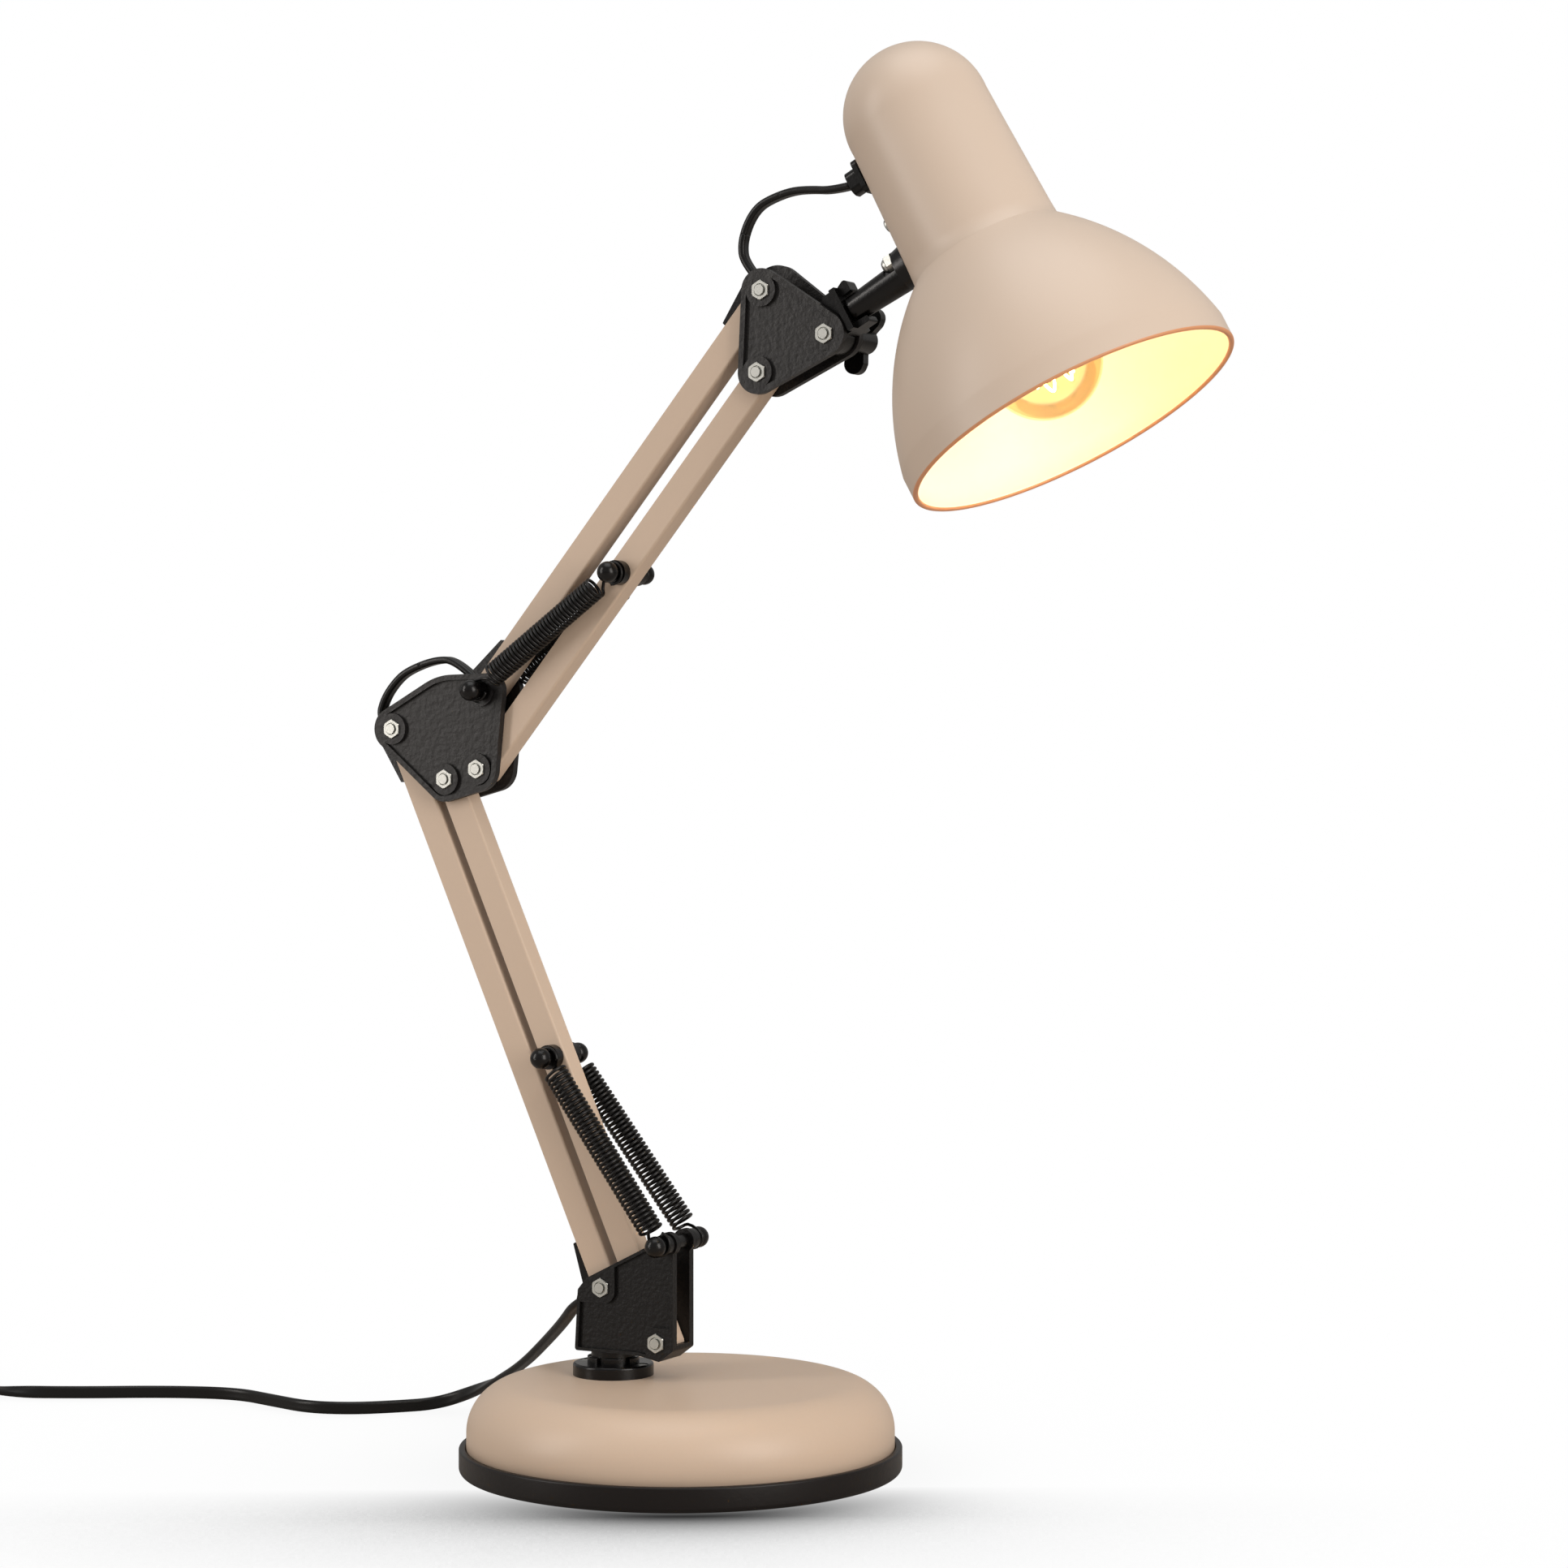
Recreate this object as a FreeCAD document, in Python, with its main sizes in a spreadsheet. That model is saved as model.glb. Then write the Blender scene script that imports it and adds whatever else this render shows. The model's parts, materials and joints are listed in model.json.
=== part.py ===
import FreeCAD, Part
import math
import os
import re
import types
import Sketcher

# Spring-balanced desk lamp: a weighted round base, two parallelogram arms with
# moulded joints, and a bell shade on a tilting stem.  Millimetres, +Z up, the
# arms in the XZ plane, the origin on the table under the middle of the base.

Vec = FreeCAD.Vector
UP = Vec(0, 0, 1)
SIDE = Vec(0, 1, 0)
os.makedirs("parts", exist_ok=True)
doc = FreeCAD.newDocument("desk_lamp")

# ---------------------------------------------------------------- driving sizes
SIZES = {
    # base
    "ring_radius": 88.0, "ring_height": 10.4, "ring_floor": 2.5, "ring_width": 15.0, "foot_gap": 0.5,
    "pad_thickness": 2.5, "cover_radius": 85.0, "cover_height": 35.9, "cover_shoulder": 19.5,
    "cover_sheet": 1.2, "weight_thickness": 14.0, "weight_gap": 1.3,
    # swivel
    "swivel_offset": 31.0, "flange_radius": 16.2, "flange_thickness": 5.0, "collar_wall": 1.6,
    "collar_height": 2.6, "collar_slot": 3.2, "post_radius": 8.85, "post_top": 45.8,
    "post_hang": 9.0, "swivel_nut_radius": 13.0, "swivel_nut_height": 5.0,
    "flange_screw_radius": 1.5, "flange_screw_circle": 13.0, "screw_head_radius": 2.4, "screw_head_height": 1.4,
    # mechanism
    "shoulder_x": -32.0, "shoulder_z": 71.6, "lower_pair_x": 25.4, "lower_pair_z": -20.4,
    "lower_arm_length": 243.8, "lower_arm_lean": 23.94,
    "elbow_reach_x": 42.3, "elbow_reach_z": 15.6, "upper_pair_x": -1.5, "upper_pair_z": -31.8,
    "upper_arm_length": 201.8, "upper_arm_lean": 39.73, "tilt_reach_x": 27.8, "tilt_reach_z": -18.2,
    # bars
    "bar_width": 11.0, "bar_depth": 9.6, "bar_sheet": 1.0, "bar_edge_round": 0.9,
    "lower_stud_reach": 122.0, "upper_stud_reach": 102.0,
    "tongue_length": 18.5, "tongue_inset": 2.5, "tongue_wall": 1.5, "tongue_width": 9.4, "tongue_rise": 2.6, "strip_overhang": 3.2,
    # moulded plates and their fasteners
    "plate_inner": 5.1, "panel_thickness": 2.0, "rim_height": 1.3, "rim_width": 2.2, "boss_radius": 6.4,
    "elbow_corner": 9.2, "head_corner": 8.5, "head_rear_corner": 11.0,
    "nut_flats": 7.0, "nut_thickness": 3.0, "nut_proud": 0.8, "bolt_radius": 2.0, "bolt_end": 0.7,
    # spring pins
    "pin_radius": 2.95, "ball_radius": 4.25, "pin_collar_radius": 4.1, "stud_collar_radius": 4.9,
    "pin_boss_radius": 4.7, "groove_width": 2.2,
    "base_pin_x": -1.7, "base_pin_z": 90.8, "base_pin_groove": 13.2, "elbow_pin_groove": 11.2, "stud_groove": 10.3,
    # springs
    "wire_radius": 0.6, "lower_coil_radius": 4.6, "upper_coil_radius": 4.4, "spring_turns": 24.0,
    "lower_hook_reach": 6.9, "upper_hook_reach": 11.6,
    # tilt joint and stem
    "stem_angle": 28.85, "stem_offset": 4.2, "neck_reach": 71.0, "neck_station": 84.8,
    "block_face": 11.6, "block_wall": 2.7, "block_half_width": 7.2, "block_top": 13.9, "block_foot": 4.2,
    "stem_root_radius": 5.3, "stem_tip_radius": 6.4, "shank_radius": 3.4, "shank_length": 7.0,
    "saddle_radius": 9.8, "saddle_thickness": 3.8, "saddle_offset": 1.8, "stem_nut_offset": 6.1,
    "knob_hub_radius": 5.2, "knob_length": 27.4, "knob_lobe": 4.1, "knob_waist": 2.6, "knob_wing": 4.4,
    "knob_start": 9.6, "knob_reach": 29.0, "knob_angle": 65.8,
    # shade and lamp
    "shade_rim_radius": 66.2, "shade_bulge_radius": 66.9, "shade_bulge_station": 9.0, "shade_mid_radius": 53.6,
    "shade_mid_station": 45.0, "shade_crease_radius": 30.4, "shade_crease_station": 73.5,
    "neck_top_radius": 28.5, "neck_top_station": 133.0,
    "shade_depth": 163.5, "shade_sheet": 1.0, "rim_bead": 1.1,
    "bulb_station": 26.0, "bulb_radius": 22.5, "bulb_glass": 0.8, "bulb_neck_radius": 11.6, "bulb_cap_radius": 13.2,
    "bulb_cap_start": 50.0, "bulb_cap_end": 75.0, "holder_radius": 17.5, "holder_start": 54.0, "holder_end": 112.0,
    "holder_flange": 6.0, "gland_station": 127.0, "gland_height": 7.5, "neck_screw_station": 105.0,
    # cords
    "cord_radius": 2.2, "flat_cord_width": 5.4, "flat_cord_height": 3.2,
    "coil_centre_x": -482.0, "coil_centre_y": 40.0, "coil_radius": 38.0, "coil_pitch": 5.7, "coil_layer": 5.1,
    "coil_side_turns": 2.875,
    # switch and plug on the lead
    "switch_x": -408.0, "switch_y": 2.0, "switch_length": 62.0, "switch_width": 27.0, "switch_height": 17.0,
    "switch_inlet": 4.0, "rocker_length": 17.0, "rocker_width": 10.0, "rocker_rise": 2.2,
    "rocker_axle_radius": 1.2, "rocker_axle_reach": 1.0, "rocker_axle_depth": 2.0,
    "plug_length": 34.0, "plug_width": 26.0, "plug_height": 13.7, "plug_relief": 22.0, "prong_length": 19.0,
    "prong_radius": 2.0, "prong_spacing": 18.6, "tail_length": 26.0,
    # clearances
    "running_gap": 0.05, "fit_gap": 0.3,
}
dims = doc.addObject("Spreadsheet::Sheet", "dims")
for row, (alias, amount) in enumerate(SIZES.items(), start=1):
    dims.set(f"A{row}", alias)
    dims.set(f"B{row}", str(amount))
    dims.setAlias(f"B{row}", alias)
doc.recompute()
size = types.SimpleNamespace(**{alias: float(dims.get(alias)) for alias in SIZES})


# ---------------------------------------------------------------- small helpers
def bind(item, prop, formula):
    """Tie one property to sizes named in the sheet."""
    item.setExpression(prop, re.sub(r"[a-z]+(_[a-z]+)+", lambda word: "dims." + word.group(), formula))


def polar(length, degrees):
    return Vec(length * math.cos(math.radians(degrees)), 0, length * math.sin(math.radians(degrees)))


def flat(point):
    """A point of the XZ plane in sketch coordinates."""
    return Vec(point.x, point.z, 0)


def circle(x, z, radius):
    return [Part.Circle(Vec(x, z, 0), UP, radius)]


def rounded(corners):
    """A closed outline of straight sides whose corners (x, z, radius) are arcs."""
    count = len(corners)
    points = [Vec(x, z, 0) for x, z, _ in corners]
    starts, ends, arcs = [], [], []
    for i, (_, _, radius) in enumerate(corners):
        here = points[i]
        back = (points[i - 1] - here).normalize()
        ahead = (points[(i + 1) % count] - here).normalize()
        half = back.getAngle(ahead) / 2
        if radius <= 0 or abs(half - math.pi / 2) < 1e-6:
            starts.append(here)
            ends.append(here)
            arcs.append(None)
            continue
        reach = radius / math.tan(half)
        middle = here + (back + ahead).normalize() * (radius / math.sin(half) - radius)
        starts.append(here + back * reach)
        ends.append(here + ahead * reach)
        arcs.append(Part.Arc(starts[-1], middle, ends[-1]))
    outline = []
    for i in range(count):
        if arcs[i]:
            outline.append(arcs[i])
        following = starts[(i + 1) % count]
        if (following - ends[i]).Length > 1e-4:
            outline.append(Part.LineSegment(ends[i], following))
    return outline


def belt(discs):
    """The outline of a belt run counterclockwise round discs (x, z, radius)."""
    count = len(discs)
    leaving, arriving = [], [None] * count
    for i, (x, z, radius) in enumerate(discs):
        nx, nz, nradius = discs[(i + 1) % count]
        span = Vec(nx - x, nz - z, 0)
        heading = math.atan2(span.y, span.x)
        normal = heading - math.acos((radius - nradius) / span.Length)
        way = Vec(math.cos(normal), math.sin(normal), 0)
        leaving.append((Vec(x, z, 0) + way * radius, normal))
        arriving[(i + 1) % count] = (Vec(nx, nz, 0) + way * nradius, normal)
    outline = []
    for i, (x, z, radius) in enumerate(discs):
        begin, first = arriving[i]
        finish, last = leaving[i]
        sweep = (last - first) % (2 * math.pi)
        if 1e-3 < sweep < 2 * math.pi - 1e-3:
            middle = Vec(x + radius * math.cos(first + sweep / 2), z + radius * math.sin(first + sweep / 2), 0)
            outline.append(Part.Arc(begin, middle, finish))
        outline.append(Part.LineSegment(finish, arriving[(i + 1) % count][0]))
    return outline


def inset(corners, distance):
    """The same rounded outline moved inwards; corners run counterclockwise."""
    count = len(corners)
    moved = []
    for i, (x, z, radius) in enumerate(corners):
        here = Vec(x, z, 0)
        back = (here - Vec(corners[i - 1][0], corners[i - 1][1], 0)).normalize()
        ahead = (Vec(corners[(i + 1) % count][0], corners[(i + 1) % count][1], 0) - here).normalize()
        inward_back = Vec(-back.y, back.x, 0)
        inward_ahead = Vec(-ahead.y, ahead.x, 0)
        shift = (inward_back + inward_ahead) * (distance / (1 + inward_back.dot(inward_ahead)))
        moved.append((x + shift.x, z + shift.y, max(radius - distance, 0.3)))
    return moved


def hexagon(x, z, flats):
    radius = flats / math.sqrt(3)
    tips = [Vec(x + radius * math.cos(math.radians(a)), z + radius * math.sin(math.radians(a)), 0)
            for a in range(30, 390, 60)]
    return [Part.LineSegment(tips[i], tips[(i + 1) % 6]) for i in range(6)]


class Piece:
    """A body and the sketched features that shape it."""

    def __init__(self, label, several=False):
        self.label = label
        self.body = doc.addObject("PartDesign::Body", label)
        self.body.AllowCompound = several
        self.steps = 0

    def feature(self, kind):
        self.steps += 1
        return self.body.newObject(kind, f"{self.label}_{kind.split('::')[1].lower()}_{self.steps}")

    def sketch(self, loops, role, level):
        sketch = self.feature("Sketcher::SketchObject")
        plane = next(item for item in self.body.Origin.OriginFeatures if item.Role == role)
        sketch.AttachmentSupport = [(plane, "")]
        sketch.MapMode = "FlatFace"
        bind(sketch, "AttachmentOffset.Base.z", level)
        for loop in loops:
            sketch.addGeometry(loop, False)
        return sketch

    def pad(self, loops, length, level="0", role="XZ_Plane", middle=False):
        pad = self.feature("PartDesign::Pad")
        pad.Profile = self.sketch(loops, role, level)
        bind(pad, "Length", length)
        if middle:
            pad.SideType = "Symmetric"
        return self

    def pocket(self, loops, length, level="0", role="XZ_Plane", middle=False):
        pocket = self.feature("PartDesign::Pocket")
        pocket.Profile = self.sketch(loops, role, level)
        bind(pocket, "Length", length)
        if middle:
            pocket.SideType = "Symmetric"
        return self

    def turn(self, loops):
        """Turn a half profile (radius, height) about the body's Z axis."""
        turned = self.feature("PartDesign::Revolution")
        profile = self.sketch(loops, "XZ_Plane", "0")
        turned.Profile = profile
        turned.ReferenceAxis = (profile, ["V_Axis"])
        turned.Angle = 360
        return self

    def place(self, origin, degrees=0.0, axis=SIDE):
        self.body.Placement = FreeCAD.Placement(origin, FreeCAD.Rotation(axis, degrees))
        return self


NODES = []


def node(item):
    NODES.append(item)
    return item


def keep(piece):
    node(piece.body)
    return piece


def shaped(label, shape):
    item = doc.addObject("Part::Feature", label)
    item.Shape = shape
    return item


def mirrored(label, source):
    item = doc.addObject("Part::Mirroring", label)
    item.Source = source
    item.Base = Vec(0, 0, 0)
    item.Normal = SIDE
    return item


def boolean(kind, label, first, *others):
    item = doc.addObject(kind, label)
    if kind == "Part::MultiFuse":
        item.Shapes = [first, *others]
    else:
        item.Base, item.Tool = first, others[0]
    return item


# ---------------------------------------------------------------- the mechanism
LOWER_ANGLE = 90 + size.lower_arm_lean
UPPER_ANGLE = 90 - size.upper_arm_lean
SHOULDER = Vec(size.shoulder_x, 0, size.shoulder_z)
SHOULDER_REAR = SHOULDER + Vec(size.lower_pair_x, 0, size.lower_pair_z)
ELBOW = SHOULDER + polar(size.lower_arm_length, LOWER_ANGLE)
ELBOW_REAR = ELBOW + Vec(size.lower_pair_x, 0, size.lower_pair_z)
UPPER = ELBOW + Vec(size.elbow_reach_x, 0, size.elbow_reach_z)
UPPER_REAR = UPPER + Vec(size.upper_pair_x, 0, size.upper_pair_z)
HEAD = UPPER + polar(size.upper_arm_length, UPPER_ANGLE)
HEAD_REAR = HEAD + Vec(size.upper_pair_x, 0, size.upper_pair_z)
TILT = HEAD + Vec(size.tilt_reach_x, 0, size.tilt_reach_z)
STEM_WAY = polar(1, size.stem_angle)
SHADE_UP = polar(1, size.stem_angle + 90)
STEM_START = TILT + SHADE_UP * size.stem_offset
NECK = STEM_START + STEM_WAY * size.neck_reach
RIM = NECK - SHADE_UP * size.neck_station
BASE_PIN = Vec(size.base_pin_x, 0, size.base_pin_z)
LOWER_STUD = SHOULDER_REAR + polar(size.lower_stud_reach, LOWER_ANGLE)
UPPER_STUD = UPPER_REAR + polar(size.upper_stud_reach, UPPER_ANGLE)
SWIVEL = Vec(-size.swivel_offset, 0, 0)
PLATE_OUTER = size.plate_inner + size.panel_thickness + size.rim_height
NUT_FACE = PLATE_OUTER + size.nut_proud
NUT_SEAT = NUT_FACE - size.nut_thickness
BOLT_HOLE = size.bolt_radius + size.running_gap


# ---------------------------------------------------------------- base
def make_base():
    floor_top = size.foot_gap + size.ring_floor
    inner = size.cover_radius + size.fit_gap
    hole = size.ring_radius - size.ring_width
    keep(Piece("foot_ring").turn([rounded([
        (hole, size.foot_gap, 0), (size.ring_radius, size.foot_gap, 2.2),
        (size.ring_radius, size.ring_height, 0.8), (inner, size.ring_height, 0.5),
        (inner, floor_top, 0), (hole, floor_top, 0)])]))
    pad = node(doc.addObject("Part::Cylinder", "base_pad"))
    bind(pad, "Radius", "ring_radius - ring_width - fit_gap")
    bind(pad, "Height", "pad_thickness")
    weight_radius = size.cover_radius - size.cover_sheet - size.weight_gap
    weight_top = floor_top + size.weight_thickness
    keep(Piece("base_weight").turn([rounded([
        (0, size.pad_thickness, 0), (hole - size.fit_gap, size.pad_thickness, 0),
        (hole - size.fit_gap, floor_top, 0), (weight_radius, floor_top, 0),
        (weight_radius, weight_top, 3.0), (0, weight_top, 0)])]))
    cover_in = size.cover_radius - size.cover_sheet
    under = size.cover_height - size.cover_sheet
    cover = Piece("base_cover").turn([rounded([
        (0, under, 0), (cover_in, under, size.cover_shoulder - size.cover_sheet), (cover_in, floor_top, 0),
        (size.cover_radius, floor_top, 0), (size.cover_radius, size.cover_height, size.cover_shoulder),
        (0, size.cover_height, 0)])])
    holes = [circle(SWIVEL.x, 0, size.post_radius + size.fit_gap)]
    holes += [circle(SWIVEL.x + side * size.flange_screw_circle, 0, size.flange_screw_radius + size.running_gap)
              for side in (-1, 1)]
    keep(cover.pocket(holes, "cover_sheet * 4", "cover_height + cover_sheet", "XY_Plane"))


def make_swivel():
    bore = size.post_radius + size.running_gap
    collar = bore + size.collar_wall
    screws = [(side * size.flange_screw_circle, 0) for side in (-1, 1)]
    flange = Piece("swivel_flange")
    flange.turn([rounded([(bore, 0, 0), (size.flange_radius, 0, 0),
                          (size.flange_radius, size.flange_thickness, 1.0), (collar, size.flange_thickness, 0),
                          (collar, size.flange_thickness + size.collar_height, 0.4),
                          (bore, size.flange_thickness + size.collar_height, 0)])])
    for turn in (0, 60, 120):
        along = Vec(math.cos(math.radians(turn + 30)), math.sin(math.radians(turn + 30)), 0)
        across = Vec(-along.y, along.x, 0) * (size.collar_slot / 2)
        ends = [along * collar * 1.1 + across, along * -collar * 1.1 + across,
                along * -collar * 1.1 - across, along * collar * 1.1 - across]
        flange.pocket([rounded([(p.x, p.y, 0) for p in ends])], "collar_height",
                      "flange_thickness + collar_height", "XY_Plane")
    flange.pocket([circle(x, y, size.flange_screw_radius + size.running_gap) for x, y in screws],
                  "flange_thickness", "flange_thickness", "XY_Plane")
    flange.pocket([circle(x, y, size.screw_head_radius + size.fit_gap) for x, y in screws],
                  "screw_head_height + fit_gap", "flange_thickness", "XY_Plane")
    flange.place(SWIVEL + UP * size.cover_height)
    keep(flange)
    head_level = "flange_thickness - fit_gap"
    fixing = Piece("flange_screws", several=True)
    fixing.pad([circle(x, y, size.screw_head_radius) for x, y in screws], "screw_head_height",
               head_level + " - screw_head_height", "XY_Plane")
    fixing.pad([circle(x, y, size.flange_screw_radius) for x, y in screws],
               "flange_thickness + cover_sheet * 3", "0 - cover_sheet * 3 - fit_gap", "XY_Plane")
    keep(fixing.place(SWIVEL + UP * size.cover_height))
    under = size.cover_height - size.cover_sheet
    nut_top = under - size.fit_gap
    post = Piece("swivel_post").turn([rounded([
        (0, under - size.post_hang, 0), (size.post_radius - 1, under - size.post_hang, 0.6),
        (size.post_radius - 1, nut_top, 0), (size.post_radius, nut_top, 0),
        (size.post_radius, size.post_top, 0), (0, size.post_top, 0)])])
    keep(post.place(SWIVEL))
    nut = Piece("swivel_nut").pad([hexagon(0, 0, size.swivel_nut_radius * math.sqrt(3)),
                                   circle(0, 0, size.post_radius - 1)], "swivel_nut_height", "0", "XY_Plane")
    keep(nut.place(SWIVEL + UP * (nut_top - size.swivel_nut_height)))


# ---------------------------------------------------------------- moulded plates
def fit_fasteners(plate, pivots):
    """Sink hex pockets for the nuts and bore the bolt holes."""
    plate.pocket([hexagon(p.x, p.z, size.nut_flats + 2 * size.running_gap) for p in pivots],
                 "nut_thickness - nut_proud", "plate_inner + panel_thickness + rim_height")
    plate.pocket([circle(p.x, p.z, BOLT_HOLE) for p in pivots], "panel_thickness + rim_height + 1",
                 "plate_inner + panel_thickness + rim_height")


def moulded_plate(label, outer, inner, pivots, extra=()):
    """A flat cheek with a raised rim, ring bosses and hex pockets; outer face towards -Y."""
    plate = Piece(label)
    plate.pad([outer], "panel_thickness", "plate_inner")
    plate.pad([outer, inner], "rim_height", "plate_inner + panel_thickness")
    for loop in extra:
        plate.pad([loop], "rim_height", "plate_inner + panel_thickness")
    for pivot in pivots:
        plate.pad([circle(pivot.x, pivot.z, size.boss_radius)], "rim_height", "plate_inner + panel_thickness")
    return plate


def hex_fasteners(bolts_label, nuts_label, pivots):
    """Hex bolts through both plates from the rear, with a nut at the front."""
    total = f"plate_inner + panel_thickness + rim_height + nut_proud"
    bolts = Piece(bolts_label, several=True)
    bolts.pad([hexagon(p.x, p.z, size.nut_flats) for p in pivots], "nut_thickness", f"0 - ({total})")
    bolts.pad([circle(p.x, p.z, size.bolt_radius) for p in pivots],
              f"2 * ({total}) + bolt_end - nut_thickness / 2", f"nut_thickness / 2 - ({total})")
    keep(bolts)
    nuts = Piece(nuts_label, several=True)
    for p in pivots:
        nuts.pad([hexagon(p.x, p.z, size.nut_flats), circle(p.x, p.z, size.bolt_radius)],
                 "nut_thickness", f"{total} - nut_thickness")
    keep(nuts)


BRACKET_OUTLINE = [(-44.0, 45.8, 1.2), (-15.0, 45.8, 8.0), (-5.2, 43.9, 1.0), (1.1, 48.6, 1.2), (1.1, 89.5, 1.2),
                   (-3.4, 93.0, 1.5), (-38.7, 75.0, 1.5), (-42.6, 70.3, 1.5)]


def make_lower_bracket():
    inner = inset(BRACKET_OUTLINE, 1.3)
    left_lug = rounded([(-43.4, 65.4, 0.5), (-25.6, 65.4, 5.0), (-25.6, 81.2, 0), (-38.7, 74.5, 0), (-42.2, 70.2, 0)])
    right_lug = rounded([(-11.4, 45.6, 0), (-5.2, 44.4, 0), (0.7, 48.7, 0), (0.7, 57.4, 0.5), (-11.4, 57.4, 5.0)])
    cheek = Piece("bracket_cheek")
    cheek.pad([rounded(BRACKET_OUTLINE)], "panel_thickness", "plate_inner")
    cheek.pad([rounded(BRACKET_OUTLINE), rounded(inner)], "rim_height", "plate_inner + panel_thickness")
    cheek.pad([left_lug], "rim_height", "plate_inner + panel_thickness")
    cheek.pad([right_lug], "rim_height", "plate_inner + panel_thickness")
    cheek.pad([circle(BASE_PIN.x, BASE_PIN.z, size.pin_boss_radius)],
              "panel_thickness + rim_height", "plate_inner")
    fit_fasteners(cheek, [SHOULDER, SHOULDER_REAR])
    cheek.pocket([circle(BASE_PIN.x, BASE_PIN.z, size.pin_radius + size.running_gap)],
                 "panel_thickness + rim_height + 1", "plate_inner + panel_thickness + rim_height")
    floor = Piece("bracket_floor")
    floor.pad([rounded([(-44.0, 45.8, 1.2), (-15.0, 45.8, 8.0), (-5.2, 43.9, 1.0), (1.1, 48.6, 1.2), (1.1, 50.6, 0),
                        (-6.6, 50.6, 0), (-15.0, 46.9, 0), (-17.0, 50.0, 1.0), (-44.0, 50.0, 0)])],
              "plate_inner * 2 + 0.2", middle=True)
    floor.pocket([circle(SHOULDER_REAR.x, SHOULDER_REAR.z, size.bar_width / 2 + size.fit_gap)],
                 "plate_inner * 2 + 1", middle=True)
    node(boolean("Part::MultiFuse", "lower_bracket", cheek.body, mirrored("bracket_cheek_rear", cheek.body),
                 floor.body))
    hex_fasteners("shoulder_bolts", "shoulder_nuts", [SHOULDER, SHOULDER_REAR])


def make_elbow():
    discs = [(UPPER_REAR.x, UPPER_REAR.z, size.elbow_corner),
             (UPPER.x + 3.8, UPPER.z - 0.2, size.elbow_corner - 2.0),
             (UPPER.x - 12.8, UPPER.z - 21.5, 28.0),
             (ELBOW.x, ELBOW.z, size.elbow_corner - 0.6),
             (ELBOW_REAR.x, ELBOW_REAR.z, size.elbow_corner)]
    inner = [(x, z, radius - size.rim_width) for x, z, radius in discs]
    shelf_out, shelf_in = 6.4, 5.2
    shelf = [Part.Arc(Vec(UPPER.x - shelf_out, UPPER.z, 0), Vec(UPPER.x, UPPER.z - shelf_out, 0),
                      Vec(UPPER.x + shelf_out, UPPER.z, 0)),
             Part.LineSegment(Vec(UPPER.x + shelf_out, UPPER.z, 0), Vec(UPPER.x + shelf_in, UPPER.z, 0)),
             Part.Arc(Vec(UPPER.x + shelf_in, UPPER.z, 0), Vec(UPPER.x, UPPER.z - shelf_in, 0),
                      Vec(UPPER.x - shelf_in, UPPER.z, 0)),
             Part.LineSegment(Vec(UPPER.x - shelf_in, UPPER.z, 0), Vec(UPPER.x - shelf_out, UPPER.z, 0))]
    pivots = [ELBOW, ELBOW_REAR, UPPER_REAR]
    front = moulded_plate("elbow_plate_front", belt(discs), belt(inner), pivots, [shelf])
    fit_fasteners(front, pivots)
    front.pocket([circle(UPPER.x, UPPER.z, size.pin_radius + size.running_gap)],
                 "panel_thickness + rim_height + 1", "plate_inner + panel_thickness + rim_height")
    keep(front)
    node(mirrored("elbow_plate_rear", front.body))
    hex_fasteners("elbow_bolts", "elbow_nuts", pivots)


def make_head_bracket():
    for label, lobe in (("head_plate_front", size.head_corner), ("head_plate_back", size.head_rear_corner)):
        discs = [(HEAD_REAR.x, HEAD_REAR.z, size.head_corner), (TILT.x, TILT.z, size.head_corner),
                 (HEAD.x, HEAD.z, lobe)]
        inner = [(x, z, radius - size.rim_width) for x, z, radius in discs]
        plate = moulded_plate(label, belt(discs), belt(inner), [HEAD, HEAD_REAR, TILT])
        fit_fasteners(plate, [HEAD, HEAD_REAR, TILT] if lobe == size.head_corner else [HEAD, HEAD_REAR])
        if lobe == size.head_corner:
            keep(plate)
        else:
            plate.pocket([circle(TILT.x, TILT.z, BOLT_HOLE)], "panel_thickness + rim_height + 1",
                         "plate_inner + panel_thickness + rim_height")
            node(mirrored("head_plate_rear", plate.body))
    hex_fasteners("head_bolts", "head_nuts", [HEAD, HEAD_REAR])


# ---------------------------------------------------------------- spring pins
def spring_pin(label, centre, groove, collar, seat, shank):
    """A cross pin turned about Y: shank, collars, hook grooves and ball ends."""
    neck = groove + size.groove_width / 2
    ball = neck + math.sqrt(size.ball_radius ** 2 - size.pin_radius ** 2)
    tip = ball + size.ball_radius
    edge = groove - size.groove_width / 2
    waist = size.pin_radius
    half = [Part.LineSegment(Vec(0, 0, 0), Vec(shank, 0, 0)),
            Part.LineSegment(Vec(shank, 0, 0), Vec(shank, seat, 0)),
            Part.LineSegment(Vec(shank, seat, 0), Vec(collar, seat, 0)),
            Part.LineSegment(Vec(collar, seat, 0), Vec(collar, edge, 0)),
            Part.LineSegment(Vec(collar, edge, 0), Vec(waist, edge, 0)),
            Part.LineSegment(Vec(waist, edge, 0), Vec(waist, neck, 0)),
            Part.Arc(Vec(waist, neck, 0), Vec(size.ball_radius, ball, 0), Vec(0, tip, 0)),
            Part.LineSegment(Vec(0, tip, 0), Vec(0, 0, 0))]
    source = Piece(label + "_half").turn([half]).place(centre, -90, Vec(1, 0, 0))
    node(boolean("Part::MultiFuse", label, source.body, mirrored(label + "_half_rear", source.body)))


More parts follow.
